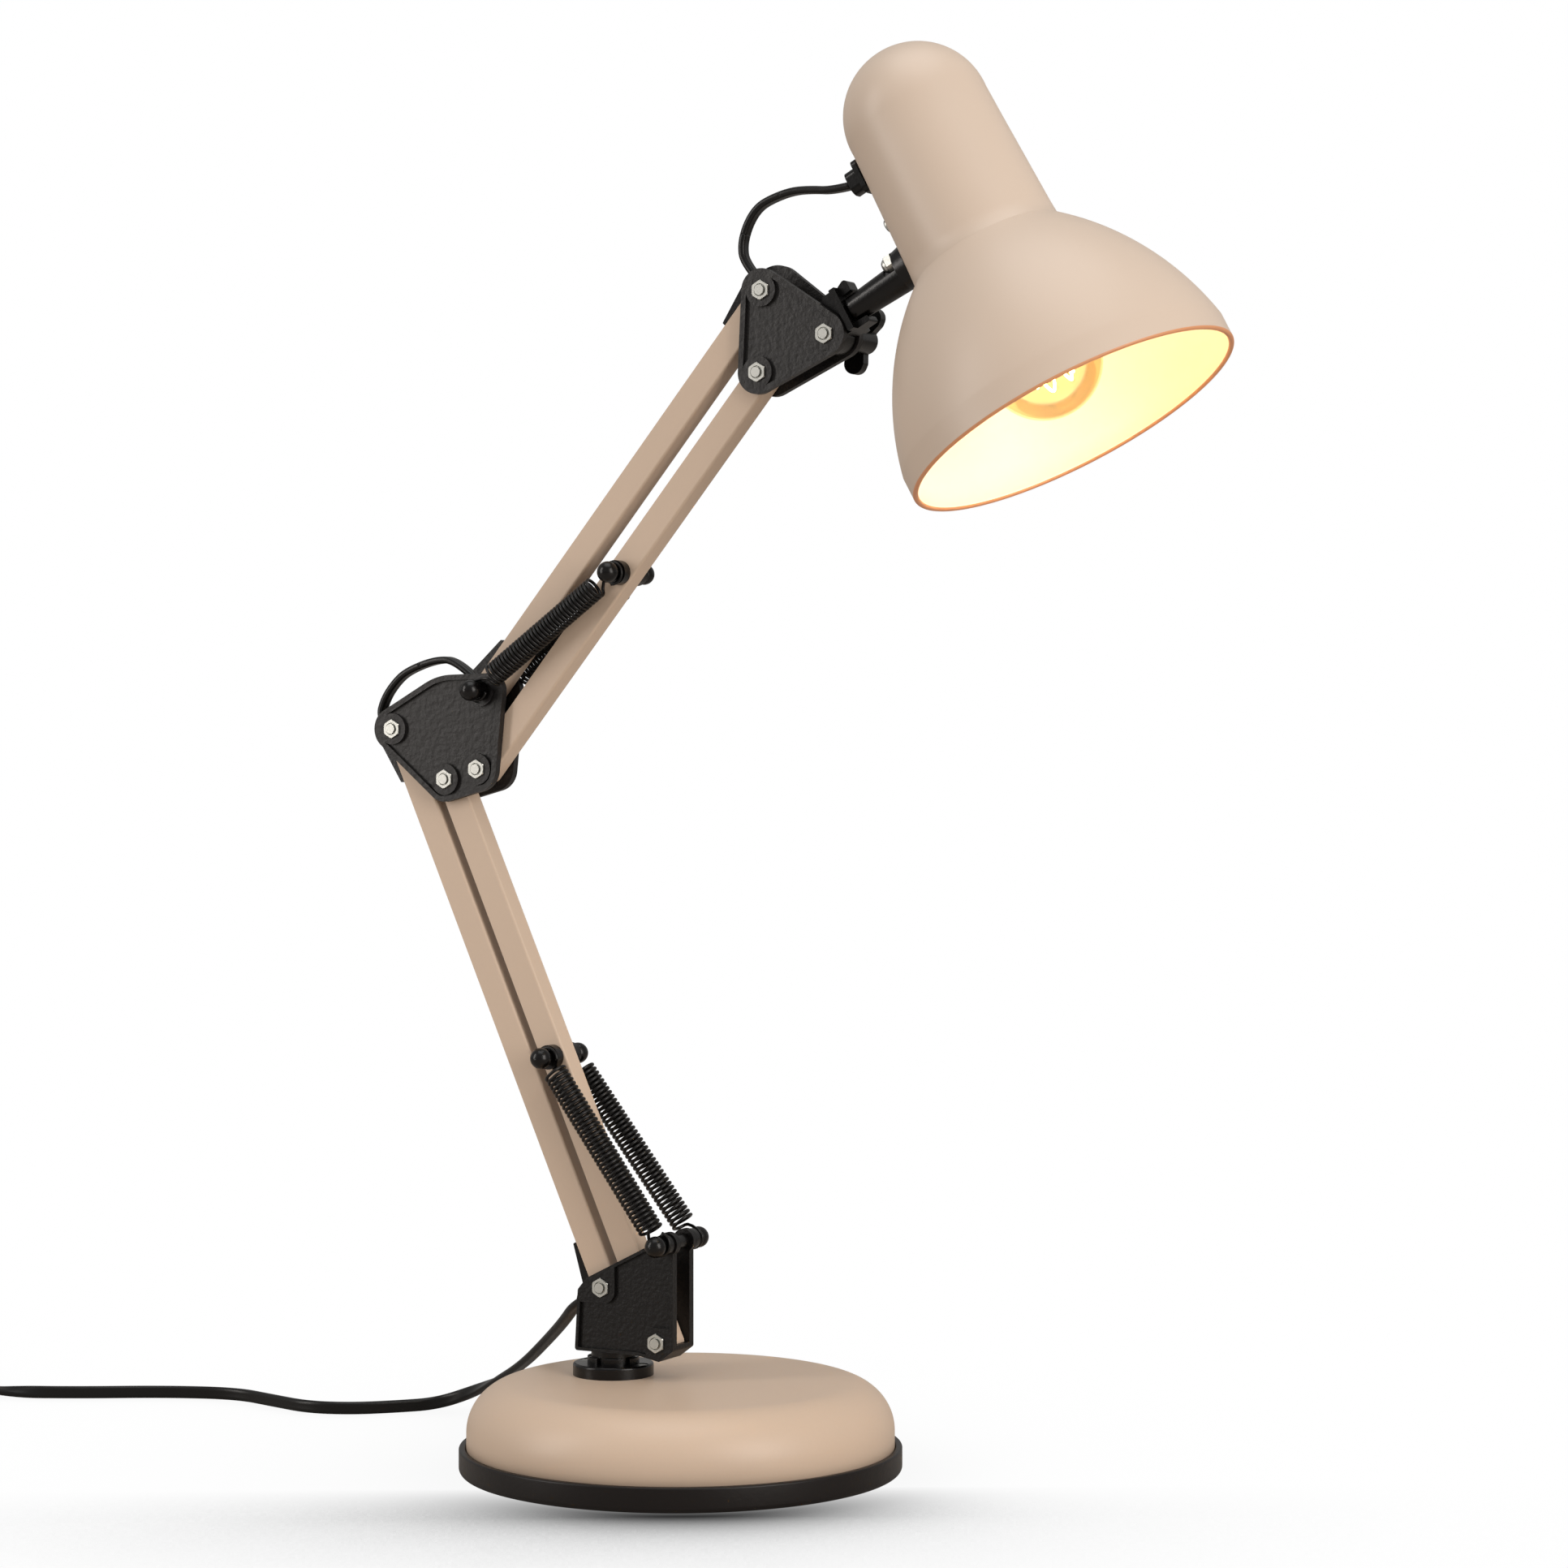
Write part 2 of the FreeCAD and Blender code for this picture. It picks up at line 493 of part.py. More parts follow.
def make_pins():
    seat = PLATE_OUTER
    spring_pin("base_spring_pin", BASE_PIN, size.base_pin_groove, size.pin_collar_radius, seat, size.pin_radius)
    spring_pin("elbow_spring_pin", UPPER, size.elbow_pin_groove, size.pin_collar_radius, seat, size.pin_radius)
    for label, centre in (("lower_stud", LOWER_STUD), ("upper_stud", UPPER_STUD)):
        spring_pin(label, centre, size.stud_groove, size.stud_collar_radius, size.bar_depth / 2, size.pin_radius)


# ---------------------------------------------------------------- bars and their cord guides
def make_bar(label, start, degrees, length, holes):
    """A folded channel, open on its +Z side, with round ends and bolt holes (distance, radius)."""
    half, deep, sheet = size.bar_width / 2, size.bar_depth / 2, size.bar_sheet
    soft = size.bar_edge_round
    channel = [(-deep, half, 0), (-deep, -half, soft + 0.1), (deep, -half, soft + 0.1), (deep, half, 0),
               (deep - sheet, half, 0), (deep - sheet, sheet - half, 0), (sheet - deep, sheet - half, 0),
               (sheet - deep, half, 0)]
    far = length + size.bar_width
    bar = Piece(label)
    bar.pad([rounded(channel)], f"{far + size.bar_width}", "0 - bar_width", "YZ_Plane")
    frame = [(-size.bar_width * 1.5, -far, 0), (far + size.bar_width, -far, 0), (far + size.bar_width, far, 0),
             (-size.bar_width * 1.5, far, 0)]
    bar.pocket([rounded(frame), belt([(0, 0, half), (length, 0, half)])], "bar_depth + 1", middle=True)
    bar.pocket([circle(spot, 0, radius) for spot, radius in holes], "bar_depth + 1", middle=True)
    keep(bar.place(start, -degrees))


def make_guides(prefix, start, degrees, length):
    """Moulded cord guides on the open side at both ends, and the flat cord that runs between them."""
    half = size.bar_width / 2
    low = half + size.tongue_wall
    far = size.tongue_inset + size.tongue_length
    high = low + size.tongue_rise
    guides = Piece(prefix + "_guides", several=True)
    mouths = []
    for sign, origin in ((1, 0.0), (-1, length)):
        outline = [(origin + sign * size.tongue_inset, half), (origin + sign * size.tongue_inset, high),
                   (origin + sign * far, low), (origin + sign * far, half)]
        passage = [(origin + sign * (size.tongue_inset - 1), half - 1),
                   (origin + sign * (size.tongue_inset - 1), high - size.tongue_wall + size.fit_gap),
                   (origin + sign * (far + 1), half + size.fit_gap * 2),
                   (origin + sign * (far + 1), half - 1)]
        order = 1 if sign < 0 else -1
        guides.pad([rounded([(x, z, 0.5 if z > half else 0) for x, z in outline[::order]])],
                   "tongue_width", middle=True)
        mouths.append(rounded([(x, z, 0) for x, z in passage[::order]]))
    guides.pocket(mouths, "flat_cord_width + fit_gap * 2", middle=True)
    keep(guides.place(start, -degrees))
    thick = size.flat_cord_height
    bed = half - thick / 2 - size.running_gap * 2
    rise = high - size.tongue_wall - thick / 2
    mouth = size.tongue_inset - size.strip_overhang
    lane = [(mouth, rise), (far + 2.0, bed), (length - far - 2.0, bed), (length - mouth, rise)]
    lower = [(x, z - thick / 2, 0 if i in (0, 3) else 20.0 + thick) for i, (x, z) in enumerate(lane)]
    upper = [(x, z + thick / 2, 0 if i in (0, 3) else 20.0) for i, (x, z) in enumerate(lane)]
    cord = Piece(prefix + "_cord")
    cord.pad([rounded(lower + upper[::-1])], "flat_cord_width", middle=True)
    keep(cord.place(start, -degrees))
    turned = FreeCAD.Rotation(SIDE, -degrees)
    slope = Vec(lane[0][0] - lane[1][0], 0, rise - bed).normalize()
    return [(start + turned.multVec(Vec(mouth, 0, rise)), turned.multVec(slope)),
            (start + turned.multVec(Vec(length - mouth, 0, rise)), turned.multVec(Vec(-slope.x, 0, slope.z)))]


def make_arms():
    bolt = BOLT_HOLE
    pin = size.pin_radius + size.running_gap
    make_bar("bar_a", SHOULDER, LOWER_ANGLE, size.lower_arm_length, [(0, bolt), (size.lower_arm_length, bolt)])
    make_bar("bar_b", SHOULDER_REAR, LOWER_ANGLE, size.lower_arm_length,
             [(0, bolt), (size.lower_stud_reach, pin), (size.lower_arm_length, bolt)])
    make_bar("bar_c", UPPER, UPPER_ANGLE, size.upper_arm_length, [(0, pin), (size.upper_arm_length, bolt)])
    make_bar("bar_d", UPPER_REAR, UPPER_ANGLE, size.upper_arm_length,
             [(0, bolt), (size.upper_stud_reach, pin), (size.upper_arm_length, bolt)])
    lower = make_guides("bar_a", SHOULDER, LOWER_ANGLE, size.lower_arm_length)
    upper = make_guides("bar_c", UPPER, UPPER_ANGLE, size.upper_arm_length)
    return lower + upper


# ---------------------------------------------------------------- swept wires and cords
def arc_edge(start, way, end):
    """An arc from start, leaving along way, to end; a line where they are in line."""
    chord = end - start
    bend = way.getAngle(chord)
    if bend < 1e-4:
        return Part.LineSegment(start, end).toShape()
    side = (way - chord * (way.dot(chord) / chord.dot(chord))).normalize()
    middle = (start + end) * 0.5 + side * (chord.Length / 2 * math.tan(bend / 2))
    return Part.Arc(start, middle, end).toShape()


def biarc(start, start_way, end, end_way):
    """Two arcs that meet in one tangent, between two points with given directions."""
    gap = end - start
    both = start_way + end_way
    across = gap.dot(both)
    spread = 2 * (1 - start_way.dot(end_way))
    if spread < 1e-9:
        reach = gap.dot(gap) / (4 * gap.dot(end_way))
    else:
        reach = (-across + math.sqrt(across ** 2 + spread * gap.dot(gap))) / spread
    joint = (start + end + (start_way - end_way) * reach) * 0.5
    joint_way = (end - end_way * reach - start - start_way * reach).normalize()
    return [arc_edge(start, start_way, joint), arc_edge(joint, joint_way, end)]


def sweep(label, edges, radius):
    """One unbroken round tube along tangent edges."""
    path = Part.Wire(edges)
    first = edges[0]
    way = first.tangentAt(first.FirstParameter)
    section = Part.Wire([Part.Circle(first.valueAt(first.FirstParameter), way, radius).toShape()])
    tube = path.makePipeShell([section], True, False)
    whole = math.pi * radius ** 2 * path.Length
    print(f"{label}: length {path.Length:.1f} mm, volume share {tube.Volume / whole:.4f}")
    return tube


def through(stations):
    """Biarcs through (point, direction) stations."""
    edges = []
    for (start, start_way), (end, end_way) in zip(stations, stations[1:]):
        edges += biarc(start, start_way, end, end_way)
    return edges


def least_gap(points, thickness, skip):
    """The least distance between parts of a wound path that are over a turn apart, less its thickness."""
    least = 1e9
    for i, here in enumerate(points):
        for there in points[i + skip:]:
            least = min(least, (here - there).Length)
    return least - thickness


def cord_tube(label, route):
    """A tube of straight runs joined by arcs as large as the runs allow."""
    points = [Vec(*point) for point in route]
    edges, radii = [], []
    last = points[0]
    for before, here, after in zip(points, points[1:], points[2:]):
        back = (before - here).normalize()
        ahead = (after - here).normalize()
        reach = 0.45 * min((before - here).Length, (after - here).Length)
        half = back.getAngle(ahead) / 2
        radius = reach * math.tan(half)
        middle = here + (back + ahead).normalize() * (radius / math.sin(half) - radius)
        start, end = here + back * reach, here + ahead * reach
        edges.append(Part.LineSegment(last, start).toShape())
        edges.append(Part.Arc(start, middle, end).toShape())
        last = end
        radii.append(round(radius, 1))
    edges.append(Part.LineSegment(last, points[-1]).toShape())
    print(f"{label}: radii {radii}")
    return sweep(label, edges, size.cord_radius)


def spring_path(start, end, radius, reach, sign):
    """Stations of a close helix with a round hook at each end, between two pin axes."""
    axis = (end - start).normalize()
    cross = SIDE.cross(axis).normalize() * sign
    out = axis.cross(cross).normalize()
    turns = int(size.spring_turns)
    length = (end - start).Length
    coil = length - 2 * reach
    pitch = coil / turns
    hold = size.pin_radius + size.wire_radius + size.fit_gap
    centre = radius - hold
    helix = []
    for i in range(1, turns * 2):
        angle = math.pi * i
        point = start + axis * (reach + pitch * i / 2) + (cross * math.cos(angle) + out * math.sin(angle)) * radius
        way = ((out * math.cos(angle) - cross * math.sin(angle)) * radius + axis * (pitch / 2 / math.pi)).normalize()
        helix.append((point, way))

    def hook(middle, forward, sign):
        """Stations round a pin, from the free end to the coil; forward points along the spring."""
        stations = []
        for degrees in (-50, -160, -270):
            angle = math.radians(degrees)
            point = middle + (forward * math.cos(angle) + cross * sign * math.sin(angle)) * radius
            way = forward * math.sin(angle) - cross * sign * math.cos(angle)
            stations.append((point, way))
        return stations

    lead = hook(start + axis * centre, axis, 1)
    tail = [(point, way * -1) for point, way in reversed(hook(end - axis * centre, axis * -1, 1))]
    return lead + helix + tail


def make_springs():
    pairs = (("lower_spring", BASE_PIN, size.base_pin_groove, LOWER_STUD, size.lower_coil_radius,
              size.lower_hook_reach),
             ("upper_spring", UPPER, size.elbow_pin_groove, UPPER_STUD, size.upper_coil_radius,
              size.upper_hook_reach))
    for name, start, start_groove, end, radius, reach in pairs:
        for side, sign in (("front", -1), ("rear", 1)):
            stations = spring_path(start + SIDE * sign * start_groove, end + SIDE * sign * size.stud_groove,
                                   radius, reach, sign)
            edges = through(stations)
            samples = [edge.valueAt(edge.FirstParameter) for edge in edges]
            gap = least_gap(samples, 2 * size.wire_radius, 4)
            print(f"{name}_{side}: least gap {gap:.2f} mm")
            node(shaped(f"{name}_{side}", sweep(f"{name}_{side}", edges, size.wire_radius)))


# ---------------------------------------------------------------- tilt joint, stem and knob
def make_tilt():
    narrow = "plate_inner * 2 - fit_gap * 2"
    face, wall = size.block_face, size.block_wall
    stem_z = size.stem_offset
    block = Piece("tilt_block")
    block.pad([circle(0, 0, size.head_corner - 1.0)], narrow, middle=True)
    block.pad([rounded([(0, -size.block_foot, 1.0), (face, -size.block_foot, 0), (face, size.block_top, 0),
                        (5.0, size.block_top, 1.0), (1.5, 10.5, 1.5)])], narrow, middle=True)
    block.pad([rounded([(face - wall, -size.block_foot, 0.6), (face, -size.block_foot, 0),
                        (face, size.block_top, 0), (face - wall, size.block_top, 0.6)])],
              "block_half_width * 2", middle=True)
    rim = stem_z + size.stem_root_radius + size.fit_gap + 0.3
    block.pad([rounded([(face - 0.5, rim, 0), (face + 4.5, rim + 0.3, 0.8), (face + 4.5, size.block_top + 2.2, 1.5),
                        (face - 0.5, size.block_top, 0)])], "block_half_width", middle=True)
    foot = stem_z - size.stem_root_radius - size.fit_gap
    block.pad([rounded([(face - 0.5, -size.block_foot, 0), (face + 6.0, -size.block_foot, 0.8),
                        (face + 6.0, foot - 0.35, 0.8), (face - 0.5, foot, 0)])], "block_half_width", middle=True)
    block.pocket([circle(0, 0, BOLT_HOLE)], "plate_inner * 2", middle=True)
    block.place(TILT, -size.stem_angle)
    bore = doc.addObject("Part::Cylinder", "shank_bore")
    bind(bore, "Radius", "shank_radius + running_gap")
    bind(bore, "Height", "shank_length + fit_gap * 2 + 1")
    bore.Placement = FreeCAD.Placement(STEM_START + STEM_WAY * (face - size.shank_length),
                                       FreeCAD.Rotation(SIDE, 90 - size.stem_angle))
    node(boolean("Part::Cut", "tilt_hub", block.body, bore))

    total = "plate_inner + panel_thickness + rim_height + nut_proud"
    bolt = Piece("tilt_bolt")
    bolt.pad([circle(TILT.x, TILT.z, size.bolt_radius)], f"{total} + bolt_end + knob_reach - 6",
             "0 - (knob_reach - 6)")
    keep(bolt)
    nut = Piece("tilt_nut").pad([hexagon(TILT.x, TILT.z, size.nut_flats),
                                 circle(TILT.x, TILT.z, size.bolt_radius)],
                                "nut_thickness", f"{total} - nut_thickness")
    keep(nut)

    tip, lobe, waist = size.knob_length / 2, size.knob_lobe, size.knob_waist
    wing = [(tip, -lobe, lobe - 0.1), (tip, lobe, lobe - 0.1), (8.0, lobe, 2.5), (4.5, waist, 2.5),
            (-4.5, waist, 2.5), (-8.0, lobe, 2.5), (-tip, lobe, lobe - 0.1), (-tip, -lobe, lobe - 0.1),
            (-8.0, -lobe, 2.5), (-4.5, -waist, 2.5), (4.5, -waist, 2.5), (8.0, -lobe, 2.5)]
    knob = Piece("wing_knob")
    knob.pad([circle(0, 0, size.knob_hub_radius)], "knob_reach - knob_start - 1", "1 - knob_reach")
    knob.pad([rounded(wing)], "knob_wing", "0 - knob_reach")
    knob.pocket([circle(0, 0, BOLT_HOLE)], "knob_reach - knob_start - 5.5", "0 - knob_start")
    keep(knob.place(TILT, -size.knob_angle))


def make_stem():
    face = size.block_face + size.fit_gap
    neck = size.shade_crease_radius - 0.7
    saddle_start = size.neck_reach - neck - size.saddle_thickness
    stem = Piece("stem_rod").turn([rounded([
        (0, size.block_face - size.shank_length + size.fit_gap, 0),
        (size.shank_radius, size.block_face - size.shank_length + size.fit_gap, 0.5),
        (size.shank_radius, face, 0), (size.stem_root_radius, face, 0.6),
        (size.stem_tip_radius, saddle_start + 1.0, 0), (0, saddle_start + 1.0, 0)])])
    stem.place(STEM_START, 90 - size.stem_angle)
    saddle = doc.addObject("Part::Cone", "stem_saddle")
    bind(saddle, "Radius1", "saddle_radius - 1.4")
    bind(saddle, "Radius2", "saddle_radius")
    bind(saddle, "Height", "saddle_thickness + 4")
    offset = SHADE_UP * size.saddle_offset
    saddle.Placement = FreeCAD.Placement(STEM_START + STEM_WAY * saddle_start + offset,
                                         FreeCAD.Rotation(SIDE, 90 - size.stem_angle))
    body = boolean("Part::MultiFuse", "stem_blank", stem.body, saddle)
    taper = neck_radius_at(size.neck_station)
    post = doc.addObject("Part::Cone", "neck_former")
    slope = (size.shade_crease_radius - size.neck_top_radius) / (size.neck_top_station - size.shade_crease_station)
    reach = 20.0
    post.Radius1 = taper + slope * reach + size.running_gap
    post.Radius2 = taper - slope * reach + size.running_gap
    post.Height = 2 * reach
    post.Placement = FreeCAD.Placement(NECK - SHADE_UP * reach, FreeCAD.Rotation(SIDE, -size.stem_angle))
    shaped_stem = boolean("Part::Cut", "stem_cut", body, post)
    nut_base = saddle_start - size.running_gap
    centre = STEM_START + SHADE_UP * size.stem_nut_offset
    notch = doc.addObject("Part::Box", "nut_notch")
    bind(notch, "Length", "nut_thickness + 3")
    notch.Width = 2 * size.saddle_radius
    notch.Height = size.saddle_radius
    notch.Placement = FreeCAD.Placement(
        centre + STEM_WAY * (saddle_start - size.nut_thickness - 3) - SIDE * size.saddle_radius
        - SHADE_UP * (size.nut_flats / 2 + 0.7), FreeCAD.Rotation(SIDE, -size.stem_angle))
    node(boolean("Part::Cut", "shade_stem", shaped_stem, notch))
    nut = Piece("stem_nut").pad([hexagon(0, 0, size.nut_flats)], "nut_thickness", "0 - nut_thickness", "XY_Plane")
    nut.pad([circle(0, 0, size.bolt_radius)], "bolt_end", "0 - nut_thickness - bolt_end", "XY_Plane")
    keep(nut.place(centre + STEM_WAY * nut_base, 90 - size.stem_angle))


# ---------------------------------------------------------------- shade and lamp
def neck_radius_at(station):
    share = (station - size.shade_crease_station) / (size.neck_top_station - size.shade_crease_station)
    return size.shade_crease_radius + (size.neck_top_radius - size.shade_crease_radius) * share


def shade_side(wall):
    """The shade's half profile at a depth below its outer skin, from the rim to the crown."""
    rim = Vec(size.shade_rim_radius - wall, 0, 0)
    bulge = Vec(size.shade_bulge_radius - wall, size.shade_bulge_station, 0)
    middle = Vec(size.shade_mid_radius - wall * 0.72, size.shade_mid_station - wall * 0.7, 0)
    crease = Vec(size.shade_crease_radius - wall, size.shade_crease_station - wall * 0.6, 0)
    rise = size.shade_depth - size.neck_top_station
    dome = (size.neck_top_radius ** 2 + rise ** 2) / (2 * rise)
    centre = size.shade_depth - dome
    radius = dome - wall
    begin = math.atan2(size.neck_top_station - centre, size.neck_top_radius)
    half = (begin + math.pi / 2) / 2
    shoulder = Vec(radius * math.cos(begin), centre + radius * math.sin(begin), 0)
    crown = Vec(radius * math.cos(half), centre + radius * math.sin(half), 0)
    top = Vec(0, centre + radius, 0)
    return [Part.LineSegment(rim, bulge), Part.Arc(bulge, middle, crease), Part.LineSegment(crease, shoulder),
            Part.Arc(shoulder, crown, top)], rim, top


def make_shade():
    outer, outer_rim, outer_top = shade_side(0)
    inner, inner_rim, inner_top = shade_side(size.shade_sheet)
    joined = [Part.LineSegment(outer_rim, inner_rim), Part.LineSegment(outer_top, inner_top)]
    shade = Piece("shade").turn([outer + inner + joined])
    middle = (size.shade_rim_radius - size.shade_sheet / 2 + 0.1)
    shade.turn([circle(middle, 0, size.rim_bead)])
    shade.place(RIM, -size.stem_angle)
    cutters = []
    for label, station, radius in (("gland_hole", size.gland_station, 3.0),
                                   ("screw_hole", size.neck_screw_station, 1.5 + size.running_gap)):
        hole = doc.addObject("Part::Cylinder", label)
        hole.Radius = radius
        hole.Height = 12.0
        hole.Placement = FreeCAD.Placement(
            RIM + SHADE_UP * station - STEM_WAY * (neck_radius_at(station) + 6.0),
            FreeCAD.Rotation(SIDE, 90 - size.stem_angle))
        cutters.append(hole)
    holes = boolean("Part::MultiFuse", "neck_holes", *cutters)
    node(boolean("Part::Cut", "shade_shell", shade.body, holes))

    flange_radius = neck_radius_at(size.neck_screw_station) - size.shade_sheet - size.fit_gap
    bore_end = size.bulb_cap_end + 1.0
    holder = Piece("lamp_holder").turn([rounded([
        (size.bulb_cap_radius + size.fit_gap, size.holder_start, 0), (size.holder_radius, size.holder_start, 1.0),
        (size.holder_radius, size.neck_screw_station - size.holder_flange / 2, 0),
        (flange_radius - 0.2, size.neck_screw_station - size.holder_flange / 2, 0.5),
        (flange_radius - 0.2, size.neck_screw_station + size.holder_flange / 2, 0.5),
        (size.holder_radius - 4, size.neck_screw_station + size.holder_flange / 2, 0),
        (size.holder_radius - 4, size.holder_end, 1.0), (0, size.holder_end, 0), (0, bore_end, 0),
        (size.bulb_cap_radius + size.fit_gap, bore_end, 0)])])
    keep(holder.place(RIM, -size.stem_angle))

    def bulb_side(wall, end):
        radius = size.bulb_radius - wall
        neck = size.bulb_neck_radius - wall
        reach = size.bulb_station + math.sqrt(radius ** 2 - (neck + 3) ** 2)
        leave = Vec(neck + 3, reach, 0)
        bottom = Vec(0, size.bulb_station - radius, 0)
        side = Vec(radius, size.bulb_station, 0)
        return [Part.Arc(bottom, side, leave), Part.LineSegment(leave, Vec(neck, end, 0))], bottom, Vec(neck, end, 0)

    cap_start = size.bulb_cap_start
    glass_out, out_low, out_high = bulb_side(0, cap_start)
    glass_in, in_low, in_high = bulb_side(size.bulb_glass, cap_start)
    glass = Piece("bulb_glass").turn([glass_out + glass_in + [Part.LineSegment(out_low, in_low),
                                                              Part.LineSegment(out_high, in_high)]])
    keep(glass.place(RIM, -size.stem_angle))
    cap = Piece("bulb_cap").turn([rounded([
        (0, cap_start, 0), (size.bulb_cap_radius, cap_start, 0.8), (size.bulb_cap_radius, size.bulb_cap_end - 6, 1.0),
        (5.0, size.bulb_cap_end, 1.0), (0, size.bulb_cap_end, 0)])])
    keep(cap.place(RIM, -size.stem_angle))
    mount = Piece("bulb_filament")
    mount.pad([circle(0, 0, 4.0)], "bulb_cap_start - bulb_station - 4", "bulb_station + 4", "XY_Plane")
    mount.turn([circle(5.0, size.bulb_station + 6.0, 1.6)])
    keep(mount.place(RIM, -size.stem_angle))

    def on_neck(station, lift=0.0):
        return RIM + SHADE_UP * station - STEM_WAY * (neck_radius_at(station) + lift)

    gland = Piece("cord_gland")
    gland.pad([rounded([(-7, -5.5, 2.5), (7, -5.5, 2.5), (7, 5.5, 2.5), (-7, 5.5, 2.5)])], "2", "0.5", "XY_Plane")
    gland.pad([rounded([(-5.0, -4, 3.0), (5, -4, 3.0), (5, 4, 3.0), (-5.0, 4, 3.0)])], "gland_height - 2.5", "2.5",
              "XY_Plane")
    gland.pad([circle(0, 0, 2.9)], "3.4", "0 - 2.8", "XY_Plane")
    gland.body.Placement = FreeCAD.Placement(on_neck(size.gland_station),
                                             FreeCAD.Rotation(SHADE_UP, SIDE, STEM_WAY * -1, "ZXY"))
    keep(gland)
    screw = Piece("neck_screw").turn([rounded([
        (0, -1.2, 0), (1.5, -1.2, 0.3), (1.5, 0.1, 0), (2.8, 0.1, 0), (2.8, 1.9, 0.9), (0, 2.2, 0)])])
    screw.body.Placement = FreeCAD.Placement(on_neck(size.neck_screw_station),
                                             FreeCAD.Rotation(SHADE_UP, SIDE, STEM_WAY * -1, "ZXY"))
    keep(screw)
    return on_neck(size.gland_station, size.gland_height + size.running_gap)


# ---------------------------------------------------------------- cords, switch and plug
LEAD_SPLIT = (-129.5, 60.2, 13.3)
ELBOW_SPLIT = (-121.45, 0.0, 320.5)
HEAD_SPLIT = (29.25, 0.0, 488.25)
TILT_SPLIT = (45.5, 0.0, 502.6)


def set_off(face, way, following):
    """Where a round cord that heads for the next point leaves a face without cutting into it."""
    course = (Vec(*following) - face).normalize()
    point = face + course * (size.fit_gap + size.cord_radius * math.sin(course.getAngle(way)))
    return (point.x, point.y, point.z)


def make_cords(mouths, gland):
    shoulder, elbow, upper, head = mouths
    routes = {
        "lead_drop": [set_off(*shoulder, (-49.0, 2.0, 62.8)),
                      (-49.0, 2.0, 62.8), (-61.0, 12.5, 53.2), (-77.0, 26.0, 42.5), (-97.5, 40.5, 28.6),
                      (-118.0, 53.4, 18.0), LEAD_SPLIT],
        "mains_lead": [LEAD_SPLIT, (-141.0, 67.0, 8.6), (-159.0, 67.5, 2.3), (-170.0, 54.0, 2.3),
                       (-184.0, 41.0, 2.3), (-203.0, 34.6, 2.3), (-226.0, 41.0, 2.3), (-250.0, 48.0, 2.3),
                       (-281.0, 37.0, 2.3), (-313.0, 17.5, 2.3), (-344.0, 3.5, 2.3), (-362.0, 2.0, 3.4),
                       (-376.9, 2.0, 4.0)],
        "elbow_cord_lower": [set_off(*elbow, (-141.9, 0.0, 299.0)), (-141.9, 0.0, 299.0), (-139.6, 0.0, 306.6),
                             (-134.6, 0.0, 313.2), (-128.4, 0.0, 318.2), ELBOW_SPLIT],
        "elbow_cord_upper": [ELBOW_SPLIT, (-114.5, 0.0, 322.8), (-104.2, 0.0, 322.4),
                             set_off(*upper, (-104.2, 0.0, 322.4))],
        "head_cord_lower": [set_off(*head, (29.1, 0.0, 477.0)), (29.1, 0.0, 477.0), (28.0, 0.0, 484.3),
                            HEAD_SPLIT],
        "head_cord_middle": [HEAD_SPLIT, (30.5, 0.0, 492.2), (34.9, 0.0, 498.3), (40.8, 0.0, 501.3), TILT_SPLIT],
        "head_cord_upper": [TILT_SPLIT, (50.2, 0.0, 503.9), (59.0, 0.0, 503.9), (67.6, 0.0, 503.0),
                            set_off(gland, STEM_WAY * -1, (67.6, 0.0, 503.0))],
    }
    for label, route in routes.items():
        node(shaped(label, cord_tube(label, route)))


def make_coil():
    """The spare lead wound in two layers: a spiral in, a climbing half turn and a spiral out."""
    centre = Vec(size.coil_centre_x, size.coil_centre_y, size.cord_radius + size.running_gap)
    inner = size.coil_radius - size.coil_pitch * size.coil_side_turns
    total_in = size.coil_side_turns
    total = 2 * total_in + 0.5

    def at(turns):
        if turns <= total_in:
            radius = size.coil_radius - size.coil_pitch * turns
            rise = 0.0
        elif turns <= total_in + 0.5:
            radius = inner
            rise = (1 - math.cos((turns - total_in) * 2 * math.pi)) / 2
        else:
            radius = inner + size.coil_pitch * (turns - total_in - 0.5)
            rise = 1.0
        angle = -math.pi / 2 - 2 * math.pi * turns
        return centre + Vec(radius * math.cos(angle), radius * math.sin(angle), size.coil_layer * rise)

    side, climb = 12, 4
    steps = [total_in * i / side for i in range(side)]
    steps += [total_in + 0.5 * i / climb for i in range(climb)]
    steps += [total_in + 0.5 + total_in * i / side for i in range(side + 1)]
    nudge = 1e-4
    stations = []
    for turns in steps:
        before, after = at(max(turns - nudge, 0)), at(min(turns + nudge, total))
        stations.append((at(turns), (after - before).normalize()))
    stations[0] = (stations[0][0], Vec(-1, 0, 0))
    inlet = Vec(size.switch_x - size.switch_length / 2 - size.running_gap * 2, size.switch_y, size.switch_inlet)
    entry = [(inlet, Vec(-1, 0, 0)), (inlet + Vec(-4.4, 0, 0), Vec(-1, 0, 0))]
    down = plug_inlet() - Vec(0, 4.4, 0)
    exit_path = [(down, Vec(0, 1, 0)), (plug_inlet(), Vec(0, 1, 0))]
    edges = through(entry + stations + exit_path)
    samples = []
    for edge in edges:
        samples += [edge.valueAt(edge.FirstParameter + (edge.LastParameter - edge.FirstParameter) * s / 3)
                    for s in range(3)]
    print(f"mains_coil: least gap {least_gap(samples, 2 * size.cord_radius, 20):.2f} mm")
    node(shaped("mains_coil", sweep("mains_coil", edges, size.cord_radius)))


def plug_inlet():
    return Vec(size.coil_centre_x - size.coil_radius, size.coil_centre_y + size.tail_length + 4.4,
               size.plug_height / 2)


